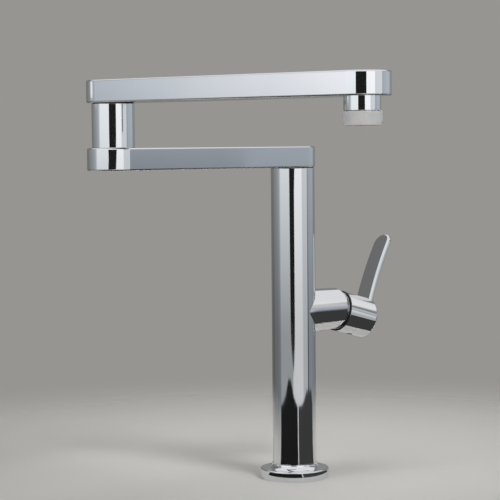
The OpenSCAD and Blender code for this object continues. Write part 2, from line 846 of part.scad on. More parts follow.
module outlet_neck() {
    color(chrome)
        at_outlet()
            difference() {
                union() {
                    translate([0, 0, -neck_h]) cylinder(r = neck_r, h = neck_h);
                    cylinder(r = neck_thread_r, h = arm_floor);
                }
                translate([0, 0, -neck_h - 1]) cylinder(r = neck_bore_d / 2, h = neck_h + arm_floor + 2);
                translate([0, 0, -neck_h - 1]) cylinder(r = collar_spigot_r + fit_gap, h = collar_spigot_h + 1 + play);
                translate([0, 0, -1]) ring(neck_r - 0.5 + fit_gap, neck_thread_r + 0.3 - fit_gap, 2);
            }
}

module neck_seal() {
    color(rubber) at_outlet() translate([0, 0, -1]) ring(neck_r - 0.5, neck_thread_r + 0.3, 1);
}

module aerator_collar() {
    color(frosted)
        at_outlet()
            difference() {
                union() {
                    translate([0, 0, collar_foot_z]) cylinder(r = collar_r, h = collar_h);
                    translate([0, 0, collar_top_z - 1]) cylinder(r = collar_spigot_r, h = collar_spigot_h + 1);
                }
                translate([0, 0, collar_foot_z - 1]) cylinder(r = collar_bore_r, h = collar_h - collar_web + 1);
                translate([0, 0, collar_foot_z]) cylinder(r = collar_spigot_r - 2, h = 3 * collar_h);
            }
}

module flow_straightener() {
    color(white_plastic)
        at_outlet() translate([0, 0, straightener_z])
            difference() {
                cylinder(r = insert_r, h = straightener_h);
                translate([0, 0, -1]) hole_rosette(straightener_hole_d / 2, hole_pitch, straightener_h + 2);
            }
}

module aerator_screen() {
    color(steel)
        at_outlet() translate([0, 0, screen_z])
            difference() {
                cylinder(r = insert_r, h = screen_t);
                translate([0, 0, -1]) hole_rosette(straightener_hole_d * 0.3, hole_pitch, screen_t + 2);
            }
}

module aerator_washer() {
    color(rubber)
        at_outlet() translate([0, 0, washer_z]) ring(insert_r, collar_spigot_r - 2, aerator_washer_t);
}

base_gasket();
base_flange();
column_tube();
base_plug();
hot_tube();
cold_tube();
mixed_riser();
valve_housing();
valve_sleeve();
cartridge_case();
cartridge_seals();
fixed_disc();
cartridge_cap();
gland_nut();
bonnet();
column_spigot();
column_seal_rings();
column_washer();
cartridge_rotor();
tilt_pin();
moving_disc();
disc_carrier();
lever_stem();
lever_hub();
slip_ring();
lever_blade();
lever_screw();
lower_arm();
lower_bush();
lower_arm_screw();
elbow_post();
post_seal();
elbow_spigot();
elbow_seal_rings();
elbow_washer();
upper_arm();
upper_bush();
upper_arm_screw();
outlet_neck();
neck_seal();
aerator_collar();
flow_straightener();
aerator_screen();
aerator_washer();
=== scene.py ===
"""Looks of a swing-out sink mixer with a jointed spout.

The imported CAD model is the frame. The pieces that show get finer meshes here, with rounded edges, threads and
perforations, and every piece gets a procedural finish. The object's sizes are in millimetres and the studio's
in metres. Meshes come out in metres.
"""

import json
import logging
import math
from dataclasses import astuple, dataclass, field
from enum import Enum
from typing import Callable, Optional, Sequence, Union

import bmesh
import bpy
from mathutils import Matrix, Vector

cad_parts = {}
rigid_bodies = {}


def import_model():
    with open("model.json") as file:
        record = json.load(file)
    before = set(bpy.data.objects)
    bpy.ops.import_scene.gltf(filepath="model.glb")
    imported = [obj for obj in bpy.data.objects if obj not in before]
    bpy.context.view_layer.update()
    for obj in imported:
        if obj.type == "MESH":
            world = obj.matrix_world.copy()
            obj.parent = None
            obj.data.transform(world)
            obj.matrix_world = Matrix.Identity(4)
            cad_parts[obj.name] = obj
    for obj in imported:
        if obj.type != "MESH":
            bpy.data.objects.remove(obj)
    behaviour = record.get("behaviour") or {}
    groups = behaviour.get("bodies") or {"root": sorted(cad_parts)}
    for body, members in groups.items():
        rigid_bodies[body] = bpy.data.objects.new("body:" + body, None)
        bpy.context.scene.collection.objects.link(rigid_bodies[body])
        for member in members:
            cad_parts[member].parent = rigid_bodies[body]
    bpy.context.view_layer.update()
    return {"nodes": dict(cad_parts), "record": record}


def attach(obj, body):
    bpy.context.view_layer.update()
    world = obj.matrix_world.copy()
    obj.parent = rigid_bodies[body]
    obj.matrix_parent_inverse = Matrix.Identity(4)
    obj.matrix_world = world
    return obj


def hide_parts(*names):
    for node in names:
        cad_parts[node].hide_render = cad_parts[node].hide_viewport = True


for leftover in list(bpy.data.objects):
    bpy.data.objects.remove(leftover)
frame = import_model()

MM = 0.001
LOG = logging.getLogger("mixer")

# Shading and welding
SMOOTH_BELOW = math.radians(32)
LARGE_FACE_WEIGHT = 80
MERGE_BELOW = 1e-5
WELD_BELOW = 0.002 * MM
ON_AXIS = 1e-6

# Points round turned pieces and cutters, and along rounded edges
ROUND_STEPS = 144
FINE_STEPS = 192
CUT_STEPS = 96
SCREW_STEPS = 48
CORNER_STEPS = 7
PLATE_EDGE_STEPS = 6

Socket = bpy.types.NodeSocket
Piece = bpy.types.Object
Value = Union[float, int, bool, str, tuple, Socket]
Rows = Sequence[Sequence[tuple]]


class Slot(Enum):
    """The record's material slots."""

    CHROME = "chrome"
    BRASS = "brass"
    COPPER = "copper"
    STEEL = "steel"
    RUBBER = "rubber"
    BLACK_PLASTIC = "black_plastic"
    WHITE_PLASTIC = "white_plastic"
    FROSTED_PLASTIC = "frosted_plastic"
    CERAMIC = "ceramic"


class Body(Enum):
    """The CAD bodies that pieces ride on."""

    BODY = "body"
    LEVER = "lever"
    LOWER_SPOUT = "lower_spout"
    UPPER_SPOUT = "upper_spout"


class SocketKind(Enum):
    """The kinds of socket that node groups have."""

    FLOAT = "NodeSocketFloat"
    VECTOR = "NodeSocketVector"
    GEOMETRY = "NodeSocketGeometry"
    MATERIAL = "NodeSocketMaterial"


# Node trees


@dataclass
class Tree:
    """A node tree with short calls for adding and joining nodes.

    Attributes:
        tree: The tree itself.
        source, sink: The input and output nodes of a group.
    """

    tree: bpy.types.NodeTree
    source: Optional[bpy.types.Node] = None
    sink: Optional[bpy.types.Node] = None

    @classmethod
    def group(cls, name: str, kind: str, inputs: dict, output: str, gives: SocketKind) -> "Tree":
        """Start a node group with a named interface.

        Args:
            name: The group's name.
            kind: Its tree type.
            inputs: The kind of each input, by name.
            output: The name of its output.
            gives: The kind of its output.

        Returns:
            The new tree, with its input and output nodes in place.
        """
        tree = bpy.data.node_groups.new(name, kind)
        for label, socket in inputs.items():
            tree.interface.new_socket(label, in_out="INPUT", socket_type=socket.value)
        tree.interface.new_socket(output, in_out="OUTPUT", socket_type=gives.value)
        return cls(tree, tree.nodes.new("NodeGroupInput"), tree.nodes.new("NodeGroupOutput"))

    @classmethod
    def material(cls, name: str) -> tuple:
        """Start a material.

        Args:
            name: The material's name.

        Returns:
            The material and its empty tree.
        """
        made = bpy.data.materials.new(name)
        made.use_nodes = True
        made.node_tree.nodes.clear()
        return made, cls(made.node_tree)

    def add(self, kind: str, inputs: Optional[dict] = None, **settings: Value) -> bpy.types.Node:
        """Add a node.

        Args:
            kind: The node's type name.
            inputs: Values or sockets by input name or number.
            settings: The node's own settings.

        Returns:
            The new node.
        """
        node = self.tree.nodes.new(kind)
        for key, value in settings.items():
            setattr(node, key, value)
        for key, value in (inputs or {}).items():
            if isinstance(value, Socket):
                self.tree.links.new(value, node.inputs[key])
            else:
                node.inputs[key].default_value = value
        return node

    def math(self, operation: str, first: Value, second: Value = 0.0) -> Socket:
        """Add a Math node and give its result."""
        return self.add("ShaderNodeMath", {0: first, 1: second}, operation=operation).outputs[0]

    def ranged(self, value: Socket, limits: tuple, first: Value, last: Value, ease: str = "LINEAR") -> Socket:
        """Map a value from its own limits to two others."""
        inputs = {0: value, 1: limits[0], 2: limits[1], 3: first, 4: last}
        return self.add("ShaderNodeMapRange", inputs, interpolation_type=ease).outputs[0]

    def mixed(self, share: Socket, first: tuple, last: tuple) -> Socket:
        """Mix two colours by a share."""
        inputs = {0: share, 6: (*first, 1.0), 7: (*last, 1.0)}
        return self.add("ShaderNodeMix", inputs, data_type="RGBA").outputs[2]

    def noise(self, where: Socket, scale: Value, detail: float, roughness: float = 0.5) -> Socket:
        """Add a Noise Texture and give its value."""
        inputs = {"Vector": where, "Scale": scale, "Detail": detail, "Roughness": roughness}
        return self.add("ShaderNodeTexNoise", inputs).outputs["Fac"]

    def place(self, inner: "Tree", inputs: dict) -> Socket:
        """Place a shader group in this tree and give its output."""
        return self.add("ShaderNodeGroup", inputs, node_tree=inner.tree).outputs[0]

    def close(self, shader: bpy.types.Node) -> None:
        """Join a shader to the material's output."""
        self.add("ShaderNodeOutputMaterial", {"Surface": shader.outputs[0]})

    def vector(self, **parts: Value) -> Socket:
        """Put a vector together from its X, Y and Z."""
        return self.add("ShaderNodeCombineXYZ", parts).outputs[0]

    def cylinder(self, sides: int, radius: Value, depth: Value) -> Socket:
        """Add a closed cylinder about the origin."""
        inputs = {"Vertices": sides, "Radius": radius, "Depth": depth}
        return self.add("GeometryNodeMeshCylinder", inputs).outputs["Mesh"]

    def circle(self, points: int, radius: Value) -> Socket:
        """Add the points of a circle about the origin."""
        return self.add("GeometryNodeMeshCircle", {"Vertices": points, "Radius": radius}).outputs[0]

    def loop(self, sides: int, radius: Value) -> Socket:
        """Add a round curve about the origin."""
        return self.add("GeometryNodeCurvePrimitiveCircle", {"Resolution": sides, "Radius": radius}).outputs[0]

    def tube(self, path: Socket, section: Socket, capped: bool) -> Socket:
        """Draw a section along a path."""
        inputs = {"Curve": path, "Profile Curve": section, "Fill Caps": capped}
        return self.add("GeometryNodeCurveToMesh", inputs).outputs[0]

    def minus(self, solid: Socket, tool: Socket) -> Socket:
        """Take one mesh out of another."""
        inputs = {"Mesh 1": solid, "Mesh 2": tool}
        return self.add("GeometryNodeMeshBoolean", inputs, operation="DIFFERENCE").outputs["Mesh"]

    def repeated(self, solid: Socket, points: Socket, **more: Value) -> Socket:
        """Put a mesh on every point."""
        inputs = {"Points": points, "Instance": solid, **more}
        return self.add("GeometryNodeInstanceOnPoints", inputs).outputs[0]

    def realized(self, geometry: Socket) -> Socket:
        """Turn instances into a mesh."""
        return self.add("GeometryNodeRealizeInstances", {"Geometry": geometry}).outputs[0]

    def raised(self, geometry: Socket, height: Value, degrees: float = 0.0) -> Socket:
        """Turn a geometry about Z and move it up."""
        move = {"Translation": self.vector(Z=height), "Rotation": (0.0, 0.0, math.radians(degrees))}
        return self.add("GeometryNodeTransform", {"Geometry": geometry, **move}).outputs[0]

    def joined(self, *parts: Socket) -> Socket:
        """Join geometries.

        Args:
            parts: The geometries.

        Returns:
            All of them as one.
        """
        node = self.add("GeometryNodeJoinGeometry")
        for part in parts:
            self.tree.links.new(part, node.inputs[0])
        return node.outputs[0]

    def give(self, value: Socket) -> None:
        """Join a socket to the group's output."""
        self.tree.links.new(value, self.sink.inputs[0])

    def want(self, name: str) -> Socket:
        """The socket of one of the group's inputs."""
        return self.source.outputs[name]


# Finishes


class SurfaceEffects:
    """The shader groups that the finishes share."""

    TONE_SPAN = (0.3, 0.7)
    DROP_INSIDE = (0.16, 0.21)
    DROP_OUTSIDE = (0.21, 0.25)
    WET_SCALE = 22.0
    WET_SPAN = (0.52, 0.66)

    def __init__(self) -> None:
        """Build each group once."""
        self.mottle = self._mottle()
        self.grain = self._grain()
        self.drops = self._drops()

    @staticmethod
    def _start(name: str, output: str, **inputs: SocketKind) -> Tree:
        """Start a shader group that reads a place and gives a value."""
        kinds = {"Vector": SocketKind.VECTOR, **inputs}
        return Tree.group(name, "ShaderNodeTree", kinds, output, SocketKind.FLOAT)

    def _mottle(self) -> Tree:
        """Build the slow change of tone and gloss over a surface.

        Returns:
            A group from a place and a scale to a value between two limits.
        """
        number = SocketKind.FLOAT
        made = self._start("slow_mottle", "Value", Scale=number, Low=number, High=number)
        noise = made.noise(made.want("Vector"), made.want("Scale"), detail=4.0, roughness=0.6)
        made.give(made.ranged(noise, self.TONE_SPAN, made.want("Low"), made.want("High")))
        return made

    def _grain(self) -> Tree:
        """Build the fine relief of a moulded, drawn or turned surface.

        Returns:
            A group from a place, a stretch and a scale to a height.
        """
        made = self._start("fine_grain", "Height", Stretch=SocketKind.VECTOR, Scale=SocketKind.FLOAT)
        stretched = made.add(
            "ShaderNodeVectorMath", {0: made.want("Vector"), 1: made.want("Stretch")}, operation="MULTIPLY"
        )
        made.give(made.noise(stretched.outputs[0], made.want("Scale"), detail=3.0, roughness=0.55))
        return made

    def _drops(self) -> Tree:
        """Build faint dried drops, as rings of haze.

        Returns:
            A group from a place and a scale to a mask.
        """
        made = self._start("dried_drops", "Mask", Scale=SocketKind.FLOAT, Amount=SocketKind.FLOAT)
        where, scale = made.want("Vector"), made.want("Scale")
        cells = made.add("ShaderNodeTexVoronoi", {"Vector": where, "Scale": scale, "Randomness": 1.0})
        away = cells.outputs["Distance"]
        inside = made.ranged(away, self.DROP_INSIDE, 0.0, 1.0)
        ring = made.math("MULTIPLY", inside, made.ranged(away, self.DROP_OUTSIDE, 1.0, 0.0))
        wet = made.ranged(made.noise(where, self.WET_SCALE, detail=1.0), self.WET_SPAN, 0.0, 1.0)
        made.give(made.math("MULTIPLY", made.math("MULTIPLY", ring, wet), made.want("Amount")))
        return made


@dataclass(frozen=True)
class Finish:
    """One surface finish.

    Attributes:
        slot: The record's slot that it belongs to.
        light, dark: The two tones that it drifts between.
        drift: Scale of that drift, per metre.
        gloss: Lowest and highest roughness.
        gloss_drift: Scale of the change in gloss, as a share of the drift.
        metallic: One for a metal.
        grain: Scale of the fine relief, per metre.
        stretch: How the relief is drawn out along each axis.
        relief: Depth of the relief, in millimetres.
        drops: Strength of the dried drops.
        drop_scale: Scale of the dried drops, per metre.
        specular: Specular level of a plastic.
        glow: Share of light that scatters inside.
        glow_depth: How far that light travels, in millimetres.
        coat: Weight of a clear, glazed skin.
    """

    slot: Slot
    light: tuple
    dark: tuple
    drift: float = 60.0
    gloss: tuple = (0.3, 0.45)
    gloss_drift: float = 1.7
    metallic: float = 0.0
    grain: float = 900.0
    stretch: tuple = (1.0, 1.0, 1.0)
    relief: float = 0.01
    drops: float = 0.0
    drop_scale: float = 160.0
    specular: float = 0.5
    glow: float = 0.0
    glow_depth: float = 2.0
    coat: float = 0.0

    def material(self, effects: SurfaceEffects) -> bpy.types.Material:
        """Build the finish as a material.

        Args:
            effects: The shared shader groups.

        Returns:
            The material.
        """
        made, tree = Tree.material(self.slot.value + "_finish")
        where = tree.add("ShaderNodeTexCoord").outputs["Object"]
        drift = tree.place(effects.mottle, {"Vector": where, "Scale": self.drift, "Low": 0.0, "High": 1.0})
        low, high = self.gloss
        rough = tree.place(
            effects.mottle, {"Vector": where, "Scale": self.drift * self.gloss_drift, "Low": low, "High": high}
        )
        if self.drops:
            haze = {"Vector": where, "Scale": self.drop_scale, "Amount": self.drops}
            rough = tree.math("ADD", rough, tree.place(effects.drops, haze))
        height = tree.place(effects.grain, {"Vector": where, "Stretch": self.stretch, "Scale": self.grain})
        bump = tree.add("ShaderNodeBump", {"Height": height, "Strength": 1.0, "Distance": self.relief * MM})
        shader = tree.add(
            "ShaderNodeBsdfPrincipled",
            {
                "Base Color": tree.mixed(drift, self.dark, self.light),
                "Roughness": rough,
                "Metallic": self.metallic,
                "Normal": bump.outputs[0],
                "Specular IOR Level": self.specular,
                "Subsurface Weight": self.glow,
                "Subsurface Scale": self.glow_depth * MM,
                "Coat Weight": self.coat,
            },
        )
        tree.close(shader)
        return made


FINISHES = (
    Finish(
        Slot.CHROME, (0.83, 0.84, 0.855), (0.80, 0.812, 0.83), drift=28.0, gloss=(0.03, 0.065), metallic=1.0,
        grain=420.0, relief=0.0006, drops=0.05,
    ),
    Finish(
        Slot.BRASS, (0.76, 0.60, 0.33), (0.63, 0.48, 0.25), drift=90.0, gloss=(0.24, 0.4), metallic=1.0,
        grain=500.0, stretch=(0.2, 0.2, 6.0), relief=0.02,
    ),
    Finish(
        Slot.COPPER, (0.78, 0.47, 0.33), (0.60, 0.33, 0.22), drift=70.0, gloss=(0.25, 0.42), metallic=1.0,
        grain=900.0, stretch=(3.0, 3.0, 0.1), relief=0.015,
    ),
    Finish(
        Slot.STEEL, (0.64, 0.65, 0.67), (0.54, 0.55, 0.57), drift=160.0, gloss=(0.2, 0.34), metallic=1.0,
        grain=1500.0, stretch=(0.4, 4.0, 4.0), relief=0.01,
    ),
    Finish(
        Slot.RUBBER, (0.05, 0.05, 0.052), (0.028, 0.028, 0.03), drift=220.0, gloss=(0.62, 0.8), grain=2600.0,
        relief=0.03, specular=0.35,
    ),
    Finish(
        Slot.BLACK_PLASTIC, (0.016, 0.016, 0.017), (0.009, 0.009, 0.01), drift=140.0, gloss=(0.42, 0.56),
        grain=3200.0, relief=0.008, specular=0.25,
    ),
    Finish(
        Slot.WHITE_PLASTIC, (0.82, 0.82, 0.80), (0.74, 0.74, 0.71), drift=120.0, gloss=(0.36, 0.5), grain=2400.0,
        relief=0.01, glow=0.12, glow_depth=1.5,
    ),
    Finish(
        Slot.FROSTED_PLASTIC, (0.64, 0.645, 0.655), (0.57, 0.575, 0.585), drift=110.0, gloss=(0.42, 0.58),
        grain=3000.0, relief=0.02, glow=0.15, glow_depth=1.5, drops=0.05,
    ),
    Finish(
        Slot.CERAMIC, (0.88, 0.87, 0.83), (0.81, 0.80, 0.76), drift=240.0, gloss=(0.16, 0.28), grain=5000.0,
        relief=0.004, coat=0.3,
    ),
)


class FinishShelf:
    """All finishes as materials, by slot."""

    def __init__(self) -> None:
        """Make every finish once."""
        effects = SurfaceEffects()
        self.by_slot = {finish.slot: finish.material(effects) for finish in FINISHES}

    def dress(self, piece: Piece, slot: Slot) -> None:
        """Put a slot's finish on a piece."""
        piece.data.materials.clear()
        piece.data.materials.append(self.by_slot[slot])


# Places


def shift(x: float, y: float, z: float) -> Matrix:
    """A move, in millimetres."""
    return Matrix.Translation((x, y, z))


def turn(degrees: float, axis: str) -> Matrix:
    """A turn about one of the axes."""
    return Matrix.Rotation(math.radians(degrees), 4, axis)


@dataclass(frozen=True)
class Layout:
    """Where the sub-assemblies sit, as the CAD model has them.

    Attributes:
        valve_z: Height of the valve axis.
        pivot_x: Tilt pin from the column axis.
        lever_turn, lever_tilt: Pose of the lever as pictured.
        lower_z, post_z, upper_z: Undersides of lower arm, post and upper arm.
        lower_len, upper_len: Arm lengths between axes.
        lower_angle, upper_angle: Arm directions as pictured.
    """

    valve_z: float = 133.5
    pivot_x: float = 37.8
    lever_turn: float = 8.0
    lever_tilt: float = 15.5
    lower_z: float = 249.0
    post_z: float = 265.5
    upper_z: float = 298.3
    lower_len: float = 180.0
    upper_len: float = 218.0
    lower_angle: float = 185.0
    upper_angle: float = -74.5

    @property
    def valve(self) -> Matrix:
        """The valve axis as local Z, from the column axis."""
        return shift(0, 0, self.valve_z) @ turn(90, "Y")

    @property
    def lever(self) -> Matrix:
        """The lever's frame at the tilt pin: X out along the hub, Z up the blade."""
        pin = shift(0, 0, self.valve_z) @ turn(-self.lever_turn, "X") @ shift(self.pivot_x, 0, 0)
        return pin @ turn(self.lever_tilt, "Y")

    @property
    def lower(self) -> Matrix:
        """The lower arm's frame: X along the arm from the column axis."""
        return shift(0, 0, self.lower_z) @ turn(self.lower_angle, "Z")

    @property
    def elbow(self) -> Matrix:
        """The elbow post's foot, turned as the upper arm is."""
        at = self.lower @ Vector((self.lower_len, 0, self.post_z - self.lower_z))
        return Matrix.Translation(at) @ turn(self.upper_angle, "Z")

    @property
    def upper(self) -> Matrix:
        """The upper arm's frame: X along the arm from the elbow axis."""
        return self.elbow @ shift(0, 0, self.upper_z - self.post_z)

    @property
    def outlet(self) -> Matrix:
        """The outlet axis at the underside of the upper arm."""
        return self.upper @ shift(self.upper_len, 0, 0)


LAYOUT = Layout()


# Mesh making


def arc(centre: tuple, radius: float, start: float, end: float, steps: int) -> list:
    """Points on a circle in the profile plane.

    Args:
        centre: The circle's centre.
        radius: Its radius.
        start, end: Angles in degrees from the radial direction.
        steps: How many pieces the arc has.

    Returns:
        The points, with no rounding of their own.
    """
    turns = [math.radians(start + (end - start) * k / steps) for k in range(steps + 1)]
    return [(centre[0] + radius * math.cos(a), centre[1] + radius * math.sin(a)) for a in turns]


def rounded(corners: Sequence[tuple], closed: bool) -> list:
    """Replace the corners that have a rounding by arcs.

    Args:
        corners: Points of the profile; a third number is a rounding radius.
        closed: Whether the last point joins the first.

    Returns:
        The points of the finished profile.
    """
    made = []
    count = len(corners)
    for k, corner in enumerate(corners):
        here = Vector(corner[:2])
        radius = corner[2] if len(corner) > 2 else 0.0
        if not radius or (not closed and k in (0, count - 1)):
            made.append((here.x, here.y))
            continue
        back = (Vector(corners[k - 1][:2]) - here).normalized()
        ahead = (Vector(corners[(k + 1) % count][:2]) - here).normalized()
        half = back.angle(ahead) / 2
        middle = here + (back + ahead).normalized() * (radius / math.sin(half))
        first = here + back * (radius / math.tan(half)) - middle
        last = here + ahead * (radius / math.tan(half)) - middle
        sweep = first.angle_signed(last)
        for step in range(CORNER_STEPS + 1):
            spoke = first.copy()
            spoke.rotate(Matrix.Rotation(-sweep * step / CORNER_STEPS, 2))
            made.append(tuple(middle + spoke))
    return made


def as_piece(name: str, mesh: bmesh.types.BMesh) -> Piece:
    """Keep a mesh under work as a piece.

    Args:
        name: The piece's name.
        mesh: The mesh in metres; it is used up.

    Returns:
        The piece, at the origin.
    """
    data = bpy.data.meshes.new(name)
    mesh.to_mesh(data)
    mesh.free()
    piece = bpy.data.objects.new(name, data)
    bpy.context.scene.collection.objects.link(piece)
    return piece


def placed(name: str, mesh: bmesh.types.BMesh, place: Matrix) -> Piece:
    """Close a mesh under work, turn its faces outwards and put it in its place.

    Args:
        name: The piece's name.
        mesh: The mesh in millimetres, in its own frame; it is used up.
        place: Where that frame is.

    Returns:
        The piece at the origin, in metres, with its place in its mesh.
    """
    bmesh.ops.remove_doubles(mesh, verts=mesh.verts, dist=MERGE_BELOW)
    bmesh.ops.recalc_face_normals(mesh, faces=mesh.faces)
    mesh.transform(Matrix.Scale(MM, 4) @ place)
    return as_piece(name, mesh)


def skin(mesh: bmesh.types.BMesh, rows: Rows, rings: bool, closed: bool = False) -> list:
    """Add faces between neighbouring rows of points.

    Args:
        mesh: The mesh that gets them.
        rows: Rows of equally many points; a row of one point is a pole.
        rings: Whether each row is a ring.
        closed: Whether the last row joins the first.

    Returns:
        The rows as points of the mesh.
    """
    made = [[mesh.verts.new(point) for point in row] for row in rows]
    pairs = list(zip(made, made[1:]))
    if closed:
        pairs.append((made[-1], made[0]))
    for below, above in pairs:
        count = max(len(below), len(above))
        for k in range(count if rings else count - 1):
            n = (k + 1) % count
            low = (below[k % len(below)], below[n % len(below)])
            high = (above[n % len(above)], above[k % len(above)])
            mesh.faces.new(tuple(dict.fromkeys(low + high)))
    return made


def lofted(name: str, rows: Rows, place: Matrix, closed: bool) -> Piece:
    """Skin rings of points.

    Args:
        name: The piece's name.
        rows: Rings of equally many points; a ring of one point is a pole.
        place: The frame of the points.
        closed: Whether the last ring joins the first.

    Returns:
        The piece.
    """
    mesh = bmesh.new()
    skin(mesh, rows, rings=True, closed=closed)
    return placed(name, mesh, place)


def turned(
    name: str, profile: Sequence[tuple], place: Matrix, closed: bool = True, steps: int = ROUND_STEPS
) -> Piece:
    """Turn a profile about its axis.

    Args:
        name: The piece's name.
        profile: Corners as radius, height and rounding.
        place: The frame, whose Z is the axis.
        closed: Whether the profile is a loop; if not, it starts and ends on the axis.
        steps: Points round the axis.

    Returns:
        The piece.
    """
    spokes = [(math.cos(math.tau * k / steps), math.sin(math.tau * k / steps)) for k in range(steps)]
    rows = []
    for r, z in rounded(profile, closed):
        rows.append([(0.0, 0.0, z)] if r < ON_AXIS else [(r * c, r * s, z) for c, s in spokes])
    return lofted(name, rows, place, closed)


def slab(
    name: str, outline: Callable[[float], list], low: float, high: float, edge: float, place: Matrix,
    shape: Optional[Callable[[bmesh.types.BMesh], None]] = None,
) -> Piece:
    """Make a plate with rounded edges from its outline.

    Args:
        name: The piece's name.
        outline: Gives the outline's points drawn in by a distance, always equally many.
        low, high: The plate's two faces along local Z.
        edge: Rounding of its edges.
        place: The frame.
        shape: Bends the flat plate in its own frame.

    Returns:
        The piece.
    """
    angles = [math.radians(90 * k / PLATE_EDGE_STEPS) for k in range(PLATE_EDGE_STEPS + 1)]
    rows = []
    for side, face in ((1, low), (-1, high)):
        for a in angles[::side]:
            height = face + side * edge * (1 - math.cos(a))
            rows.append([(x, y, height) for x, y in outline(edge * (1 - math.sin(a)))])
    mesh = bmesh.new()
    rings = skin(mesh, rows, rings=True)
    mesh.faces.new(rings[0][::-1])
    mesh.faces.new(rings[-1])
    if shape:
        shape(mesh)
    return placed(name, mesh, place)


def rod(radius: float, low: float, high: float, place: Matrix, steps: int = CUT_STEPS) -> Piece:
    """A plain round cutter along local Z."""
    corners = [(0.0, low), (radius, low), (radius, high), (0.0, high)]
    return turned("cutter", corners, place, closed=False, steps=steps)


def bake(piece: Piece) -> None:
    """Turn a piece with modifiers into a plain mesh.

    Args:
        piece: The piece; its modifiers are removed.
    """
    graph = bpy.context.evaluated_depsgraph_get()
    data = bpy.data.meshes.new_from_object(piece.evaluated_get(graph), depsgraph=graph)
    piece.modifiers.clear()
    piece.data = data
    data.name = piece.name


def cut(piece: Piece, *cutters: Piece) -> None:
    """Take cutters out of a piece, one after another, and weld what the cuts leave doubled.

    Args:
        piece: The piece.
        cutters: The cutters; they are used up.
    """
    for cutter in cutters:
        made = piece.modifiers.new("cut", "BOOLEAN")
        made.operation = "DIFFERENCE"
        made.solver = "EXACT"
        made.object = cutter
        bake(piece)
        bpy.data.objects.remove(cutter)
    mesh = bmesh.new()
    mesh.from_mesh(piece.data)
    bmesh.ops.remove_doubles(mesh, verts=mesh.verts, dist=WELD_BELOW)
    mesh.to_mesh(piece.data)
    mesh.free()


def smooth(piece: Piece) -> None:
    """Give a piece even shading that breaks only at true edges.

    Args:
        piece: The piece.
    """
    piece.data.shade_smooth()
    piece.data.set_sharp_from_angle(angle=SMOOTH_BELOW)
    made = piece.modifiers.new("even", "WEIGHTED_NORMAL")
    made.mode = "FACE_AREA"
    made.weight = LARGE_FACE_WEIGHT
    made.keep_sharp = True
    bake(piece)


def joined(name: str, parts: Sequence[Piece]) -> Piece:
    """Join several meshes into one piece.

    Args:
        name: The new piece's name.
        parts: The meshes; they are used up.

    Returns:
        The piece.
    """
    mesh = bmesh.new()
    for part in parts:
        mesh.from_mesh(part.data)
        bpy.data.objects.remove(part)
    return as_piece(name, mesh)


# Geometry Nodes


@dataclass(frozen=True)
class GrubScrew:
    """A headless screw.

    Attributes:
        radius: Its radius over the thread.
        length: Its length without the nose.
        pitch, ridge: Rise of the thread for each turn, and half its height.
        socket, socket_depth: Its hexagon, over the corners, and how deep that is.
        nose, nose_length: Radius and length of its nose.
    """

    radius: float
    length: float
    pitch: float
    ridge: float
    socket: float
    socket_depth: float
    nose: float
    nose_length: float

    LABELS = ("Radius", "Length", "Pitch", "Depth", "Socket", "Socket Depth", "Nose", "Nose Length")

    @property
    def sizes(self) -> dict:
        """Its sizes by the names of the screw tree's inputs."""
        return dict(zip(self.LABELS, astuple(self)))


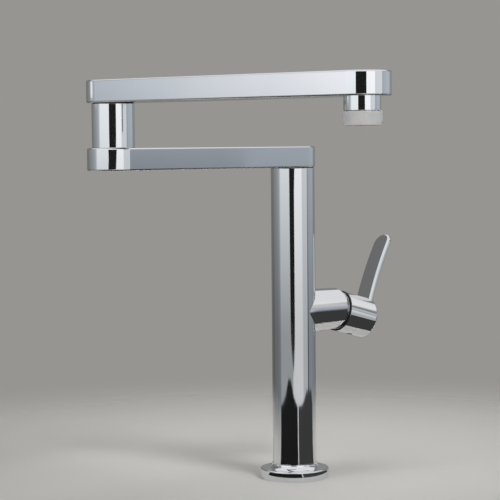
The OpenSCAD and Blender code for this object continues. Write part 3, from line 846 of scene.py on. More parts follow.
class Grower:
    """The node trees that make what repeats or follows a path."""

    TURN_STEPS = 40
    RIDGE_SIDES = 4
    SOCKET_SIDES = 6
    NOSE_SIDES = 32
    THREADED_SHARE = 0.9
    DISC_SIDES = 96
    RING_HOLES = (6, 12)
    RING_TURN = 15.0
    HOLE_SIDES = 28
    DRILL_SHARE = 1.5
    WIRE_SIDES = 8
    WIRED_SHARE = 1.9
    WEAVE_LIFT = 1.7
    RIM_SIDES = 12

    def __init__(self) -> None:
        """Build each tree once."""
        self.thread = self._thread()
        self.screw = self._screw()
        self.rosette = self._rosette()
        self.screen = self._screen()

    @staticmethod
    def _start(name: str, *sizes: str) -> tuple:
        """Start a tree of named sizes in metres with a material.

        Args:
            name: The tree's name.
            sizes: The names of its sizes.

        Returns:
            The tree, and the sockets of its sizes by name.
        """
        kinds = {"Geometry": SocketKind.GEOMETRY, **dict.fromkeys(sizes, SocketKind.FLOAT)}
        kinds["Material"] = SocketKind.MATERIAL
        made = Tree.group(name, "GeometryNodeTree", kinds, "Geometry", SocketKind.GEOMETRY)
        return made, {label: made.want(label) for label in sizes}

    @staticmethod
    def _end(made: Tree, geometry: Socket) -> Tree:
        """Realize, set the material and give the result.

        Args:
            made: The tree.
            geometry: What it made.

        Returns:
            The tree.
        """
        inputs = {"Geometry": made.realized(geometry), "Material": made.want("Material")}
        made.give(made.add("GeometryNodeSetMaterial", inputs).outputs[0])
        return made

    def _ridge(self, made: Tree, radius: Socket, length: Socket, pitch: Socket, depth: Socket) -> Socket:
        """Add a helical ridge along +Z.

        Args:
            made: The tree.
            radius: Radius of the ridge's path.
            length: Its length.
            pitch: Rise for each turn.
            depth: Half height of the ridge.

        Returns:
            The ridge's mesh.
        """
        path = made.add(
            "GeometryNodeCurveSpiral",
            {
                "Resolution": self.TURN_STEPS, "Rotations": made.math("DIVIDE", length, pitch),
                "Start Radius": radius, "End Radius": radius, "Height": length,
            },
        )
        return made.tube(path.outputs[0], made.loop(self.RIDGE_SIDES, depth), capped=True)

    @staticmethod
    def _bar(made: Tree, radius: Socket, length: Socket, top: Value, sides: int) -> Socket:
        """Add a bar that hangs down from a height."""
        middle = made.math("ADD", made.math("MULTIPLY", length, -0.5), top)
        return made.raised(made.cylinder(sides, radius, length), middle)

    def _thread(self) -> Tree:
        """Build the ridge of an inner thread.

        Returns:
            The tree.
        """
        made, get = self._start("thread_ridge", "Radius", "Length", "Pitch", "Depth")
        return self._end(made, self._ridge(made, *get.values()))

    def _screw(self) -> Tree:
        """Build a headless screw along -Z from its socket end.

        Returns:
            The tree.
        """
        made, get = self._start("grub_screw", *GrubScrew.LABELS)
        core = made.math("SUBTRACT", get["Radius"], get["Depth"])
        length, deep = get["Length"], get["Socket Depth"]
        body = self._bar(made, core, length, 0.0, SCREW_STEPS)
        pocket = self._bar(made, get["Socket"], made.math("MULTIPLY", deep, 2.0), deep, self.SOCKET_SIDES)
        foot = made.math("MULTIPLY", length, -1.0)
        nose = self._bar(made, get["Nose"], get["Nose Length"], foot, self.NOSE_SIDES)
        threaded = made.math("MULTIPLY", length, self.THREADED_SHARE)
        wound = self._ridge(made, core, threaded, get["Pitch"], get["Depth"])
        drop = made.math("MULTIPLY", length, -(1 + self.THREADED_SHARE) / 2)
        return self._end(made, made.joined(made.minus(body, pocket), nose, made.raised(wound, drop)))

    def _rosette(self) -> Tree:
        """Build a disc with holes on a centre and two circles.

        Returns:
            The tree.
        """
        made, get = self._start("hole_rosette", "Radius", "Height", "Hole", "Pitch")
        few, many = self.RING_HOLES
        centre = made.add("GeometryNodeMeshLine", {"Count": 1}).outputs[0]
        inner = made.circle(few, get["Pitch"])
        outer = made.circle(many, made.math("MULTIPLY", get["Pitch"], 2.0))
        spots = made.joined(centre, inner, made.raised(outer, 0.0, self.RING_TURN))
        deep = made.math("MULTIPLY", get["Height"], self.DRILL_SHARE)
        drills = made.repeated(made.cylinder(self.HOLE_SIDES, get["Hole"], deep), spots)
        disc = made.cylinder(self.DISC_SIDES, get["Radius"], get["Height"])
        return self._end(made, made.minus(disc, made.realized(drills)))

    def _screen(self) -> Tree:
        """Build a round screen of crossed wires with a rim.

        Returns:
            The tree.
        """
        made, get = self._start("wire_screen", "Radius", "Pitch", "Wire", "Rim")
        reach = made.math("SUBTRACT", get["Radius"], get["Rim"])
        span = made.math("MULTIPLY", reach, self.WIRED_SHARE)
        count = made.math("ROUND", made.math("DIVIDE", span, get["Pitch"]))
        start = made.vector(Y=made.math("MULTIPLY", span, -0.5))
        step = made.vector(Y=made.math("DIVIDE", span, made.math("SUBTRACT", count, 1.0)))
        row = made.add("GeometryNodeMeshLine", {"Count": count, "Start Location": start, "Offset": step})
        here = made.add("GeometryNodeInputPosition").outputs[0]
        at = made.add("ShaderNodeSeparateXYZ", {0: here}).outputs["Y"]
        rest = made.math("SUBTRACT", made.math("MULTIPLY", reach, reach), made.math("MULTIPLY", at, at))
        size = made.vector(X=1.0, Y=1.0, Z=made.math("MULTIPLY", made.math("SQRT", rest), 2.0))
        wire = made.cylinder(self.WIRE_SIDES, get["Wire"], 1.0)
        level = (0.0, math.radians(90), 0.0)
        wires = made.repeated(wire, row.outputs[0], Scale=size, Rotation=level)
        crossed = made.raised(wires, made.math("MULTIPLY", get["Wire"], self.WEAVE_LIFT), 90)
        edge, section = made.loop(self.DISC_SIDES, reach), made.loop(self.RIM_SIDES, get["Rim"])
        return self._end(made, made.joined(wires, crossed, made.tube(edge, section, capped=False)))

    @staticmethod
    def grow(name: str, tree: Tree, sizes: dict, material: bpy.types.Material, place: Matrix) -> Piece:
        """Run a tree and keep its result as a plain mesh.

        Args:
            name: The piece's name.
            tree: The tree.
            sizes: Its sizes in millimetres, by input name.
            material: The finish.
            place: The frame of the result.

        Returns:
            The piece at the origin, with its place in its mesh.
        """
        piece = bpy.data.objects.new(name, bpy.data.meshes.new(name))
        made = piece.modifiers.new("grow", "NODES")
        made.node_group = tree.tree
        sockets = {s.name: s.identifier for s in tree.tree.interface.items_tree if s.in_out == "INPUT"}
        for label, size in sizes.items():
            made[sockets[label]] = size * MM
        made[sockets["Material"]] = material
        bpy.context.scene.collection.objects.link(piece)
        bake(piece)
        piece.data.transform(Matrix.Scale(MM, 4) @ place @ Matrix.Scale(1 / MM, 4))
        return piece


# Sub-assemblies


@dataclass
class SubAssembly:
    """What every sub-assembly needs to make and keep its pieces.

    Attributes:
        shelf: The finishes.
        grower: The node trees.
        body: The CAD body that the pieces ride on.
        kept: The finished pieces.
    """

    shelf: FinishShelf
    grower: Grower
    body: Body
    kept: list = field(init=False, default_factory=list)

    def make(self) -> None:
        """Make and keep the pieces, each sub-assembly in its own way."""
        raise NotImplementedError

    def build(self) -> list:
        """Make the pieces and give them."""
        self.make()
        return self.kept

    def keep(self, piece: Piece, slot: Slot, *nodes: str) -> None:
        """Shade and dress a piece and set it on the body.

        Args:
            piece: The finished piece.
            slot: Its material slot.
            nodes: CAD nodes that it stands for.
        """
        smooth(piece)
        self.shelf.dress(piece, slot)
        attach(piece, self.body.value)
        if nodes:
            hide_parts(*nodes)
        self.kept.append(piece)

    def grow(self, name: str, tree: Tree, sizes: dict, slot: Slot, place: Matrix) -> Piece:
        """Run a node tree in a slot's finish."""
        return self.grower.grow(name, tree, sizes, self.shelf.by_slot[slot], place)


@dataclass
class BaseAndColumn(SubAssembly):
    """The base flange, the column and the threads under it."""

    flange_r: float = 27.5
    flange_h: float = 8.0
    flange_edge: float = 1.0
    foot_edge: float = 0.3
    foot_r: float = 17.8
    foot_cove: float = 6.0
    foot_top_z: float = 12.4
    cove_steps: int = 14
    bore_r: float = 17.52
    groove: tuple = (20.23, 24.77, 1.6)
    column_r: float = 17.5
    column_bore_r: float = 15.0
    column_foot: float = 1.6
    column_top: float = 248.5
    column_edge: float = 0.5
    side_hole_r: float = 14.02
    hole_margin: float = 20.0
    hole_over: float = 4.0
    ports: tuple = ((0.0, -6.0), (0.0, 6.0))
    port_r: float = 4.45
    port_depth: float = 12.0
    port_pitch: float = 1.0
    studs: tuple = ((-10.5, 0.0), (10.5, 0.0))
    stud_r: float = 3.4
    stud_depth: float = 14.0
    stud_pitch: float = 1.25
    ridge: float = 0.22
    ridge_start: float = 0.6
    ridge_short: float = 1.6

    def make(self) -> None:
        """Make the flange, the column and the threads."""
        self._flange()
        self._column()
        self._threads()

    def _flange(self) -> None:
        """Make the flange with its coved foot and the gasket's groove."""
        inner, outer, deep = self.groove
        spread = 180 + math.degrees(math.asin((self.foot_top_z - self.flange_h) / self.foot_cove))
        middle = (self.foot_r + self.foot_cove, self.foot_top_z)
        flange = turned(
            "base_flange_round",
            [
                (self.bore_r, 0.0), (inner, 0.0), (inner, deep), (outer, deep), (outer, 0.0),
                (self.flange_r, 0.0, self.foot_edge), (self.flange_r, self.flange_h, self.flange_edge),
                *arc(middle, self.foot_cove, spread, 180, self.cove_steps), (self.bore_r, self.foot_top_z),
            ],
            Matrix.Identity(4),
            steps=FINE_STEPS,
        )
        self.keep(flange, Slot.CHROME, "base_flange")

    def _column(self) -> None:
        """Make the column tube with its side hole."""
        low, high = LAYOUT.valve_z - self.hole_margin, LAYOUT.valve_z + self.hole_margin
        column = turned(
            "column_tube_polished",
            [
                (self.column_bore_r, self.column_foot), (self.column_r, self.column_foot, self.foot_edge),
                (self.column_r, low), (self.column_r, high), (self.column_r, self.column_top, self.column_edge),
                (self.column_bore_r, self.column_top), (self.column_bore_r, high), (self.column_bore_r, low),
            ],
            Matrix.Identity(4),
            steps=FINE_STEPS,
        )
        cut(column, rod(self.side_hole_r, 0.0, self.column_r + self.hole_over, LAYOUT.valve))
        self.keep(column, Slot.CHROME, "column_tube")

    def _threads(self) -> None:
        """Make the thread ridges of the hose ports and stud holes."""
        parts = []
        for spots, radius, depth, pitch in (
            (self.ports, self.port_r, self.port_depth, self.port_pitch),
            (self.studs, self.stud_r, self.stud_depth, self.stud_pitch),
        ):
            sizes = {"Radius": radius, "Length": depth - self.ridge_short, "Pitch": pitch, "Depth": self.ridge}
            for x, y in spots:
                place = shift(x, y, self.column_foot + self.ridge_start)
                parts.append(self.grow("ridge", self.grower.thread, sizes, Slot.BRASS, place))
        self.keep(joined("port_threads", parts), Slot.BRASS)


@dataclass
class SideValve(SubAssembly):
    """The sleeve at the column's side and the dome at its end."""

    column_r: float = 17.52
    sleeve_r: float = 17.3
    sleeve_end_r: float = 16.7
    sleeve_end: float = 43.3
    chamfer: float = 0.8
    ease: float = 0.15
    saddle_rounds: int = 4
    bore_r: float = 14.02
    dome_r: float = 17.1
    dome_foot: float = 5.5
    dome_foot_r: float = 15.9
    dome_hole_r: float = 11.0
    dome_top: float = 12.59
    dome_steps: int = 12
    nut_r: float = 12.52
    nut_top: float = 8.5
    rim: float = 7.5

    def make(self) -> None:
        """Make the sleeve and the dome."""
        self._sleeve()
        self._bonnet()

    def _saddle(self, radius: float, angle: float) -> float:
        """Where a line along the valve, at a radius and an angle from its axis, leaves the column."""
        side = radius * math.sin(angle)
        return math.sqrt(self.column_r ** 2 - side ** 2)

    def _sleeve(self) -> None:
        """Make the tapered sleeve, cut to the column's curve."""
        shoulder, ease = self.sleeve_end - self.chamfer, self.ease
        slope = (self.sleeve_end_r - self.sleeve_r) / shoulder
        spokes = []
        for k in range(FINE_STEPS):
            a = math.tau * k / FINE_STEPS
            start = self.column_r
            for _ in range(self.saddle_rounds):
                start = self._saddle(self.sleeve_r + slope * start, a)
            profile = [
                (self.sleeve_r + slope * start, start), (self.sleeve_end_r - slope * ease, shoulder - ease),
                (self.sleeve_end_r - ease / 2, shoulder + ease / 2),
                (self.dome_foot_r + ease / 2, self.sleeve_end - ease / 2),
                (self.dome_foot_r - ease, self.sleeve_end), (self.bore_r, self.sleeve_end),
                (self.bore_r, self._saddle(self.bore_r, a)),
            ]
            spokes.append([(x, r * math.sin(a), r * math.cos(a)) for r, x in profile])
        rows = list(zip(*spokes))
        sleeve = lofted("valve_sleeve_polished", rows, shift(0, 0, LAYOUT.valve_z), closed=True)
        self.keep(sleeve, Slot.CHROME, "valve_sleeve")

    def _bonnet(self) -> None:
        """Make the dome that the lever's hub moves over."""
        foot_z = math.sqrt(self.dome_r ** 2 - self.dome_foot_r ** 2)
        start = math.degrees(math.atan2(foot_z, self.dome_foot_r))
        end = math.degrees(math.asin(self.dome_top / self.dome_r))
        bonnet = turned(
            "bonnet_dome",
            [
                (self.bore_r, self.dome_foot), (self.dome_foot_r, self.dome_foot),
                *arc((0.0, 0.0), self.dome_r, start, end, self.dome_steps), (self.dome_hole_r, self.dome_top),
                (self.dome_hole_r, self.nut_top), (self.nut_r, self.nut_top), (self.nut_r, self.rim),
                (self.bore_r, self.rim),
            ],
            LAYOUT.valve @ shift(0, 0, LAYOUT.pivot_x),
        )
        self.keep(bonnet, Slot.CHROME, "bonnet")


@dataclass
class PaddleLever(SubAssembly):
    """The hub, its slip ring, the paddle blade and the grub screw."""

    ring: tuple = (15.573, 16.6, 8.2, 9.6)
    ring_edge: float = 0.25
    hub_r: float = 16.4
    hub_in: float = 9.6
    hub_out: float = 38.2
    hub_edge: float = 2.2
    hub_foot_edge: float = 0.2
    cavity_r: float = 17.6
    cavity_steps: int = 20
    socket_w: float = 7.04
    socket_in: float = 10.0
    socket_end: float = 27.2
    screw: GrubScrew = GrubScrew(
        radius=2.5, length=10.6, pitch=0.8, ridge=0.2, socket=1.375, socket_depth=3.0, nose=1.2, nose_length=0.8
    )
    screw_in: float = 23.0
    screw_low: float = -14.9
    hole_over: float = 4.0
    hole_top: float = -2.0
    blade_in: float = 30.6
    blade_rake: float = 13.2
    blade_bow: float = 345.0
    blade_bow_z: float = 40.0
    bow_step: int = 2
    blade_w: float = 18.4
    blade_t: float = 4.2
    blade_h: float = 76.0
    blade_foot: float = 7.0
    blade_corner: float = 8.2
    corner_steps: int = 14
    blade_edge: float = 1.5
    slot_play: float = 0.02

    @property
    def axis(self) -> Matrix:
        """The hub's axis as local Z."""
        return LAYOUT.lever @ turn(90, "Y")

    @property
    def plate(self) -> Matrix:
        """The blade's middle plane as local XY, Y up the blade."""
        tip = LAYOUT.lever @ shift(self.blade_in, 0, 0) @ turn(self.blade_rake, "Y")
        return tip @ turn(90, "Z") @ turn(90, "X")

    def outline(self, inset: float, play: float = 0.0) -> list:
        """The blade's outline.

        Args:
            inset: How far it is drawn in.
            play: Clearance added at its sides and foot.

        Returns:
            Its points, across and up.
        """
        half = self.blade_w / 2 + play - inset
        top, foot = self.blade_h - inset, self.blade_foot - play + inset
        r = self.blade_corner - inset
        points = [(-half, foot), (half, foot)]
        points += arc((half - r, top - r), r, 0, 90, self.corner_steps)
        points += arc((r - half, top - r), r, 90, 180, self.corner_steps)
        return points

    def bow(self, mesh: bmesh.types.BMesh) -> None:
        """Bow the flat blade outwards.

        Args:
            mesh: The blade in its own plane; it is changed.
        """
        for level in range(int(self.blade_foot) + self.bow_step, int(self.blade_h), self.bow_step):
            parts = mesh.verts[:] + mesh.edges[:] + mesh.faces[:]
            bmesh.ops.bisect_plane(mesh, geom=parts, plane_co=(0, level, 0), plane_no=(0, 1, 0))
        for vert in mesh.verts:
            angle = (vert.co.y - self.blade_bow_z) / self.blade_bow
            reach = self.blade_bow - vert.co.z
            vert.co.y = self.blade_bow_z + reach * math.sin(angle)
            vert.co.z = self.blade_bow - reach * math.cos(angle)

    def make(self) -> None:
        """Make the slip ring, the hub, the blade and the screw."""
        inner, outer, low, high = self.ring
        corners = [(inner, low), (outer, low, self.ring_edge), (outer, high, self.ring_edge), (inner, high)]
        self.keep(turned("slip_ring_black", corners, self.axis), Slot.BLACK_PLASTIC, "slip_ring")
        self._hub()
        half = self.blade_t / 2
        blade = slab("lever_blade_paddle", self.outline, -half, half, self.blade_edge, self.plate, self.bow)
        self.keep(blade, Slot.CHROME, "lever_blade")
        place = LAYOUT.lever @ shift(self.screw_in, 0, self.screw_low) @ turn(180, "X")
        screw = self.grow("lever_grub_screw", self.grower.screw, self.screw.sizes, Slot.STEEL, place)
        self.keep(screw, Slot.STEEL, "lever_screw")

    def _hub(self) -> None:
        """Make the hub with its hollow, socket, slot and screw hole."""
        edge = math.degrees(math.asin(self.hub_in / self.cavity_r))
        hub = turned(
            "lever_hub_polished",
            [
                (0.0, self.hub_out), (self.hub_r, self.hub_out, self.hub_edge),
                (self.hub_r, self.hub_in, self.hub_foot_edge),
                *arc((0.0, 0.0), self.cavity_r, edge, 90, self.cavity_steps),
            ],
            self.axis,
            closed=False,
            steps=FINE_STEPS,
        )
        half = self.socket_w / 2
        square = [(-half, -half), (half, -half), (half, half), (-half, half)]
        socket = slab("cutter", lambda inset: square, self.socket_in, self.socket_end, 0.0, self.axis)
        thick = self.blade_t / 2 + self.slot_play
        wide = self.outline(0.0, self.slot_play)
        slot = slab("cutter", lambda inset: wide, -thick, thick, 0.0, self.plate, self.bow)
        at_screw = LAYOUT.lever @ shift(self.screw_in, 0, 0)
        hole = rod(self.screw.radius, self.screw_low - self.hole_over, self.hole_top, at_screw, SCREW_STEPS)
        cut(hub, socket, slot, hole)
        self.keep(hub, Slot.CHROME, "lever_hub")


@dataclass
class SpoutArm(SubAssembly):
    """One flat arm of the spout with its retaining screw.

    Attributes:
        node: The CAD node's name.
        place: The arm's frame.
        length: Its length between axes.
        setback: How far its near end is set back.
        far_hole_r: Radius of the hole at its far end.
        far_hole: Lower and upper end of that hole.
    """

    node: str
    place: Matrix
    length: float
    setback: float
    far_hole_r: float
    far_hole: tuple
    half_w: float = 19.5
    thick: float = 16.5
    edge: float = 1.2
    end_steps: int = 64
    socket_r: float = 10.07
    socket_h: float = 11.5
    socket_over: float = 1.0
    screw: GrubScrew = GrubScrew(
        radius=2.0, length=8.0, pitch=0.7, ridge=0.2, socket=1.1, socket_depth=2.5, nose=1.0, nose_length=1.45
    )
    screw_z: float = 3.6
    screw_inner: float = 8.45
    hole_play: float = 0.02
    hole_inner: float = 1.0
    hole_over: float = 2.0

    def outline(self, inset: float) -> list:
        """The arm's outline in plan, drawn in by a distance."""
        r, steps = self.half_w - inset, self.end_steps
        return arc((self.setback, 0.0), r, 90, 270, steps) + arc((self.length, 0.0), r, -90, 90, steps)

    def make(self) -> None:
        """Make the arm and its screw."""
        arm = slab(self.node + "_polished", self.outline, 0.0, self.thick, self.edge, self.place)
        along = self.place @ shift(0, 0, self.screw_z) @ turn(-90, "Y")
        hole_r, hole_end = self.screw.radius + self.hole_play, self.half_w + self.hole_over
        cut(
            arm,
            rod(self.socket_r, -self.socket_over, self.socket_h, self.place),
            rod(self.far_hole_r, *self.far_hole, self.place @ shift(self.length, 0, 0)),
            rod(hole_r, self.hole_inner, hole_end, along, SCREW_STEPS),
        )
        self.keep(arm, Slot.CHROME, self.node)
        end = along @ shift(0, 0, self.screw_inner + self.screw.length)
        screw = self.grow(self.node + "_grub_screw", self.grower.screw, self.screw.sizes, Slot.STEEL, end)
        self.keep(screw, Slot.STEEL, self.node + "_screw")


@dataclass
class ElbowPost(SubAssembly):
    """The chrome post between the two arms."""

    outer_r: float = 15.75
    inner_r: float = 13.0
    height: float = 32.3
    edge: float = 0.4

    def make(self) -> None:
        """Make the post."""
        corners = [
            (self.inner_r, 0.0), (self.outer_r, 0.0, self.edge), (self.outer_r, self.height, self.edge),
            (self.inner_r, self.height),
        ]
        post = turned("elbow_post_polished", corners, LAYOUT.elbow, steps=FINE_STEPS)
        self.keep(post, Slot.CHROME, "elbow_post")


@dataclass
class Outlet(SubAssembly):
    """The neck under the upper arm, the frosted collar and what it holds."""

    neck_r: float = 12.5
    neck_h: float = 9.6
    neck_edge: float = 0.35
    thread_r: float = 10.5
    thread_h: float = 5.0
    bore_r: float = 8.5
    seat_r: float = 10.92
    seat_top: float = -4.5
    seal: tuple = (10.78, 12.02, -1.0)
    collar_r: float = 13.2
    collar_top: float = -9.8
    collar_foot: float = -19.6
    collar_bore_r: float = 11.2
    collar_edge: float = 0.8
    collar_lip: float = 0.5
    web_z: float = -11.2
    spigot: tuple = (8.9, 10.9, -5.0)
    insert_r: float = 11.18
    straightener: tuple = (-18.8, 5.6)
    hole_r: float = 1.4
    hole_pitch: float = 4.29
    screen_mid: float = -12.9
    wire_pitch: float = 0.9
    wire_r: float = 0.13
    rim_r: float = 0.28

    def make(self) -> None:
        """Make the neck, the collar, the straightener and the screen."""
        self._neck()
        self._collar()
        foot, height = self.straightener
        holes = {"Radius": self.insert_r, "Height": height, "Hole": self.hole_r, "Pitch": self.hole_pitch}
        place = LAYOUT.outlet @ shift(0, 0, foot + height / 2)
        disc = self.grow("flow_straightener_holed", self.grower.rosette, holes, Slot.WHITE_PLASTIC, place)
        self.keep(disc, Slot.WHITE_PLASTIC, "flow_straightener")
        wires = {"Radius": self.insert_r, "Pitch": self.wire_pitch, "Wire": self.wire_r, "Rim": self.rim_r}
        place = LAYOUT.outlet @ shift(0, 0, self.screen_mid)
        screen = self.grow("aerator_screen_wires", self.grower.screen, wires, Slot.STEEL, place)
        self.keep(screen, Slot.STEEL, "aerator_screen")

    def _neck(self) -> None:
        """Make the neck with its thread, its seal's groove and the collar's seat."""
        seal_in, seal_out, seal_z = self.seal
        corners = [
            (self.bore_r, self.seat_top), (self.seat_r, self.seat_top), (self.seat_r, -self.neck_h),
            (self.neck_r, -self.neck_h, self.neck_edge), (self.neck_r, 0.0), (seal_out, 0.0),
            (seal_out, seal_z), (seal_in, seal_z), (seal_in, 0.0), (self.thread_r, 0.0),
            (self.thread_r, self.thread_h), (self.bore_r, self.thread_h),
        ]
        self.keep(turned("outlet_neck_polished", corners, LAYOUT.outlet), Slot.CHROME, "outlet_neck")

    def _collar(self) -> None:
        """Make the frosted collar with the spigot that seats in the neck."""
        inner, outer, top = self.spigot
        corners = [
            (self.collar_bore_r, self.collar_foot, self.collar_lip),
            (self.collar_r, self.collar_foot, self.collar_edge),
            (self.collar_r, self.collar_top, self.collar_lip), (outer, self.collar_top), (outer, top),
            (inner, top), (inner, self.web_z), (self.collar_bore_r, self.web_z),
        ]
        collar = turned("aerator_collar_frosted", corners, LAYOUT.outlet)
        self.keep(collar, Slot.FROSTED_PLASTIC, "aerator_collar")


@dataclass
class InnerParts:
    """The CAD solids that stay as they are, and their finishes."""

    shelf: FinishShelf

    def build(self) -> list:
        """Put each shown CAD node's own finish on it.

        Returns:
            The nodes' objects.
        """
        slots = {row["node"]: Slot(row["material_slot"]) for row in frame["record"]["subparts"]}
        shown = {name: node for name, node in sorted(frame["nodes"].items()) if not node.hide_render}
        for name, node in shown.items():
            self.shelf.dress(node, slots[name])
        return list(shown.values())


# Studio


@dataclass(frozen=True)
class Panel:
    """A lamp panel that lights the scene.

    Attributes:
        name: The lamp's name.
        bearing: Angle from the camera's direction, to the image's right.
        width, height: Its size.
        far, level: How far off and how high its middle is.
        power: Its power.
    """

    name: str
    bearing: float
    width: float
    height: float
    far: float
    level: float
    power: float


@dataclass(frozen=True)
class Card:
    """A plain card that only the polished metal sees.

    Attributes:
        name: The card's name.
        start, end: Bearings of its edges.
        first, last: Its tone at these edges, level with the arms.
        low: What its tone falls to near the floor, as a share.
        high: Its grey above the object.
        top: Its grey at its upper edge.
    """

    name: str
    start: float
    end: float
    first: tuple
    last: tuple
    low: float
    high: float
    top: float = 0.85

    LOW_LEVELS = 2
    ARM_LEVELS = 4
    HIGH_LEVELS = 6

    def tones(self, level: int) -> tuple:
        """Its tones at both edges.

        Args:
            level: Number of the level, from the lowest up.

        Returns:
            The two tones.
        """
        if level < self.LOW_LEVELS:
            return Vector(self.first) * self.low, Vector(self.last) * self.low
        if level < self.ARM_LEVELS:
            return self.first, self.last
        grey = (self.high if level < self.HIGH_LEVELS else self.top,) * 3
        return grey, grey


@dataclass(frozen=True)
class Patch:
    """A plain sheet of one tone, nearer than the cards.

    Attributes:
        name: The sheet's name.
        tone: Its tone.
        rows: Distance, level, first and last bearing of each row.
    """

    name: str
    tone: tuple
    rows: tuple


# Tone of the dark sheets, and how high the two mats lie
DARK = (0.012, 0.012, 0.012)
MAT_Z = 0.0006


@dataclass
class Studio:
    """The floor, the light and the camera."""

    camera_at: tuple = (-0.89280, -1.12083, 0.26654)
    yaw: float = 37.159
    pitch: float = 3.335
    roll: float = 0.00862
    lens: float = 129.2
    sensor: float = 36.0
    clip: tuple = (0.02, 40.0)
    floor_r: float = 0.56
    floor_fade: float = 0.2
    floor_back: float = 0.1
    floor_drop: float = 0.00005
    floor_tone: tuple = (0.60, 0.60, 0.59)
    floor_mottle: float = 0.97
    floor_grain: float = 30.0
    floor_rough: float = 0.6
    room: tuple = (0.31, 0.30, 0.285)
    lamp_aim: tuple = (0.0, 0.0, 0.15)
    card_far: float = 6.0
    card_levels: tuple = (-2.7, -0.5, 0.53, 0.92, 1.72, 2.52, 3.12, 4.3)
    card_steps: int = 12
    ceiling_tone: tuple = (0.82, 0.82, 0.83)

    panels = (
        Panel("left_lamp", bearing=-50.0, width=2.0, height=2.0, far=2.4, level=1.0, power=20.0),
        Panel("right_lamp", bearing=40.0, width=0.8, height=0.8, far=2.0, level=2.0, power=34.0),
        Panel("top_lamp", bearing=0.0, width=1.0, height=1.0, far=0.0, level=2.3, power=12.0),
    )
    # Name, bearings, tones at both edges, share near the floor, grey above the object and at the top
    cards = (
        Card("back_left", -180.0, -140.0, (0.23, 0.23, 0.22), (0.19, 0.19, 0.18), 0.8, 0.2, 0.25),
        Card("left_wall", -140.0, -100.0, (0.19, 0.19, 0.18), (0.34, 0.35, 0.36), 0.5, 0.17, 0.17),
        Card("left_rise", -100.0, -79.8, (0.34, 0.35, 0.36), (0.46, 0.50, 0.55), 0.4, 0.3, 0.3),
        Card("left_edge", -79.8, -68.6, (0.46, 0.50, 0.55), (1.0, 1.02, 1.05), 0.33, 0.6),
        Card("left_panel", -68.6, -6.0, (0.98, 1.02, 1.05), (0.98, 1.02, 1.04), 0.33, 0.9),
        Card("right_panel", -6.0, 46.0, (1.10, 1.10, 1.11), (1.10, 1.10, 1.11), 0.58, 0.9),
        Card("right_gap", 46.0, 51.0, (0.70, 0.72, 0.74), (0.70, 0.72, 0.74), 0.8, 0.7),
        Card("right_fill", 51.0, 77.7, (0.74, 0.76, 0.78), (0.74, 0.77, 0.79), 0.6, 0.64),
        Card("right_seam", 77.7, 83.6, (0.39, 0.42, 0.47), (0.43, 0.47, 0.52), 0.1, 0.6),
        Card("blue_wall", 83.6, 106.0, (0.43, 0.47, 0.52), (0.48, 0.53, 0.57), 0.5, 0.25),
        Card("blue_rest", 106.0, 126.0, (0.48, 0.53, 0.57), (0.48, 0.52, 0.56), 0.45, 0.2),
        Card("back_right", 126.0, 180.0, (0.29, 0.31, 0.33), (0.26, 0.27, 0.27), 0.65, 0.22, 0.25),
    )
    # Name, tone, and rows of distance, level, first and last bearing
    patches = (
        Patch("low_flag", DARK, ((5.8, -0.64, -5.0, -1.0), (5.8, -0.5, -17.0, 5.0), (5.8, 0.2, -20.0, 5.0))),
        Patch(
            "high_flag", DARK,
            ((1.4, 0.19, -18.0, 4.5), (1.4, 0.28, -22.0, 12.0), (1.4, 0.42, -22.0, 12.0)),
        ),
        Patch("left_window", (0.9, 0.91, 0.93), ((5.8, 0.44, -106.0, -92.0), (5.8, 0.94, -106.0, -92.0))),
        Patch(
            "left_mat", DARK,
            ((0.045, MAT_Z, -74.0, 17.0), (0.42, MAT_Z, -74.0, 16.0), (0.63, MAT_Z, -32.0, -18.0)),
        ),
        Patch(
            "right_mat", (0.045, 0.045, 0.044),
            ((0.045, MAT_Z, 19.5, 108.0), (0.42, MAT_Z, 20.5, 108.0), (0.53, MAT_Z, 65.0, 100.0)),
        ),
    )

    def toward(self, bearing: float) -> Vector:
        """The level direction at a bearing.

        Args:
            bearing: Angle from the camera's direction, to the image's right.

        Returns:
            A unit vector from the object outwards.
        """
        yaw, a = math.radians(self.yaw), math.radians(bearing)
        back = Vector((-math.sin(yaw), -math.cos(yaw), 0.0))
        right = Vector((math.cos(yaw), -math.sin(yaw), 0.0))
        return back * math.cos(a) + right * math.sin(a)

    def build(self) -> None:
        """Set up everything round the object."""
        scene = bpy.context.scene
        scene.view_settings.view_transform = "Standard"
        self._camera(scene)
        self._world(scene)
        self._floor()
        for panel in self.panels:
            self._lamp(panel)
        for card in self.cards:
            rows = [
                self._row(self.card_far, level, card.start, card.end, *card.tones(k))
                for k, level in enumerate(self.card_levels)
            ]
            self._sheet(card.name + "_card", rows)
        for patch in self.patches:
            self._sheet(patch.name, [self._row(*row, patch.tone, patch.tone) for row in patch.rows])
        half, level = self.card_far, self.card_levels[-1]
        rows = [[((x, y, level), self.ceiling_tone) for x in (-half, half)] for y in (-half, half)]
        self._sheet("ceiling_sheet", rows)

    def _camera(self, scene: bpy.types.Scene) -> None:
        """Place the camera at the pictured viewing angle.

        Args:
            scene: The scene that gets it.
        """
        data = bpy.data.cameras.new("photo_camera")
        data.sensor_width, data.lens = self.sensor, self.lens
        data.clip_start, data.clip_end = self.clip
        camera = bpy.data.objects.new("photo_camera", data)
        scene.collection.objects.link(camera)
        heading = turn(-self.yaw, "Z") @ turn(90 - self.pitch, "X")
        camera.matrix_world = Matrix.Translation(self.camera_at) @ heading @ Matrix.Rotation(-self.roll, 4, "Z")
        scene.camera = camera

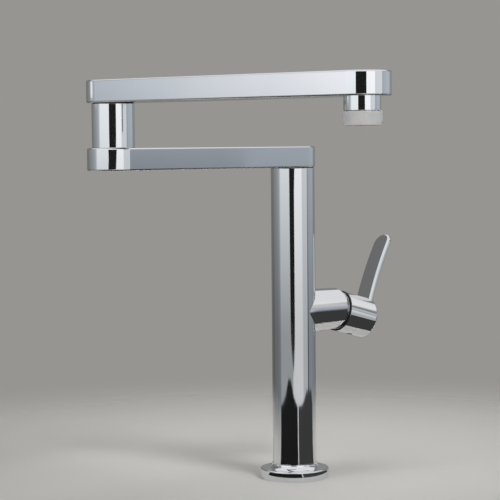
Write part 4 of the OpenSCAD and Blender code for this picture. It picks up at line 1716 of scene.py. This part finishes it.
    def _world(self, scene: bpy.types.Scene) -> None:
        """Give the room an even pale tone.

        Args:
            scene: The scene that gets it.
        """
        world = bpy.data.worlds.new("pale_room")
        world.use_nodes = True
        shade = world.node_tree.nodes["Background"]
        shade.inputs["Color"].default_value = (*self.room, 1.0)
        shade.inputs["Strength"].default_value = 1.0
        scene.world = world

    def _floor(self) -> None:
        """Make the pale floor, which runs out into the room."""
        mesh = bmesh.new()
        bmesh.ops.create_circle(mesh, cap_ends=True, segments=FINE_STEPS, radius=self.floor_r / MM)
        middle = self.toward(180) * self.floor_back
        floor = placed("floor", mesh, shift(middle.x / MM, middle.y / MM, -self.floor_drop / MM))
        made, tree = Tree.material("pale_floor")
        where = tree.add("ShaderNodeTexCoord").outputs["Object"]
        noise = tree.noise(where, self.floor_grain, detail=5.0)
        dim = tuple(self.floor_mottle * c for c in self.floor_tone)
        away = tree.add("ShaderNodeVectorMath", {0: where, 1: tuple(middle)}, operation="DISTANCE")
        rim = (self.floor_fade * self.floor_r, self.floor_r)
        shader = tree.add(
            "ShaderNodeBsdfPrincipled",
            {
                "Base Color": tree.mixed(noise, dim, self.floor_tone),
                "Alpha": tree.ranged(away.outputs["Value"], rim, 1.0, 0.0, "SMOOTHSTEP"),
                "Roughness": self.floor_rough,
                "Specular IOR Level": 0.0,
            },
        )
        tree.close(shader)
        floor.data.materials.append(made)

    def _lamp(self, panel: Panel) -> None:
        """Stand a lamp panel round the object, facing it.

        Args:
            panel: The panel.
        """
        data = bpy.data.lights.new(panel.name, "AREA")
        data.shape = "RECTANGLE"
        data.size, data.size_y = panel.width, panel.height
        data.energy = panel.power
        lamp = bpy.data.objects.new(panel.name, data)
        lamp.location = self.toward(panel.bearing) * panel.far + Vector((0.0, 0.0, panel.level))
        aim = Vector(self.lamp_aim) - lamp.location
        lamp.rotation_mode = "QUATERNION"
        lamp.rotation_quaternion = aim.to_track_quat("-Z", "Y")
        lamp.visible_camera = False
        lamp.visible_glossy = False
        bpy.context.scene.collection.objects.link(lamp)

    def _row(self, far: float, level: float, start: float, end: float, first: tuple, last: tuple) -> list:
        """Points along one row of a sheet.

        Args:
            far, level: The row's distance and height.
            start, end: Bearings of its ends.
            first, last: Tones at its ends.

        Returns:
            Each point as a place and a tone.
        """
        row = []
        for k in range(self.card_steps + 1):
            share = k / self.card_steps
            out = self.toward(start + (end - start) * share) * far
            row.append(((out.x, out.y, level), Vector(first).lerp(Vector(last), share)))
        return row

    @staticmethod
    def _sheet(name: str, rows: Rows) -> None:
        """Hang a glowing sheet for the polished metal alone.

        Args:
            name: The sheet's name.
            rows: Rows of points, each a place and a tone.
        """
        mesh = bmesh.new()
        skin(mesh, [[Vector(place) / MM for place, _ in row] for row in rows], rings=False)
        sheet = placed(name, mesh, Matrix.Identity(4))
        tones = sheet.data.color_attributes.new("tone", "FLOAT_COLOR", "POINT")
        for point, (_, tone) in zip(tones.data, (spot for row in rows for spot in row)):
            point.color = (*tone, 1.0)
        made, tree = Tree.material(name)
        tone = tree.add("ShaderNodeAttribute", attribute_name="tone")
        tree.close(tree.add("ShaderNodeEmission", {"Color": tone.outputs["Color"], "Strength": 1.0}))
        sheet.data.materials.append(made)
        sheet.visible_camera = False
        sheet.visible_diffuse = False
        sheet.visible_shadow = False


def main() -> None:
    """Build the studio and the pieces in order."""
    logging.basicConfig(level=logging.INFO, format="%(name)s: %(message)s")
    Studio().build()
    shelf = FinishShelf()
    grower = Grower()
    for assembly in (
        BaseAndColumn(shelf, grower, Body.BODY),
        SideValve(shelf, grower, Body.BODY),
        PaddleLever(shelf, grower, Body.LEVER),
        SpoutArm(
            shelf, grower, Body.LOWER_SPOUT, "lower_arm", LAYOUT.lower, LAYOUT.lower_len, setback=2.0,
            far_hole_r=9.02, far_hole=(5.0, 18.0),
        ),
        ElbowPost(shelf, grower, Body.LOWER_SPOUT),
        SpoutArm(
            shelf, grower, Body.UPPER_SPOUT, "upper_arm", LAYOUT.upper, LAYOUT.upper_len, setback=0.0,
            far_hole_r=10.52, far_hole=(-1.0, 6.0),
        ),
        Outlet(shelf, grower, Body.UPPER_SPOUT),
        InnerParts(shelf),
    ):
        for piece in assembly.build():
            LOG.info("%s in %s: %d faces", piece.name, piece.data.materials[0].name, len(piece.data.polygons))


if __name__ == "__main__":
    main()
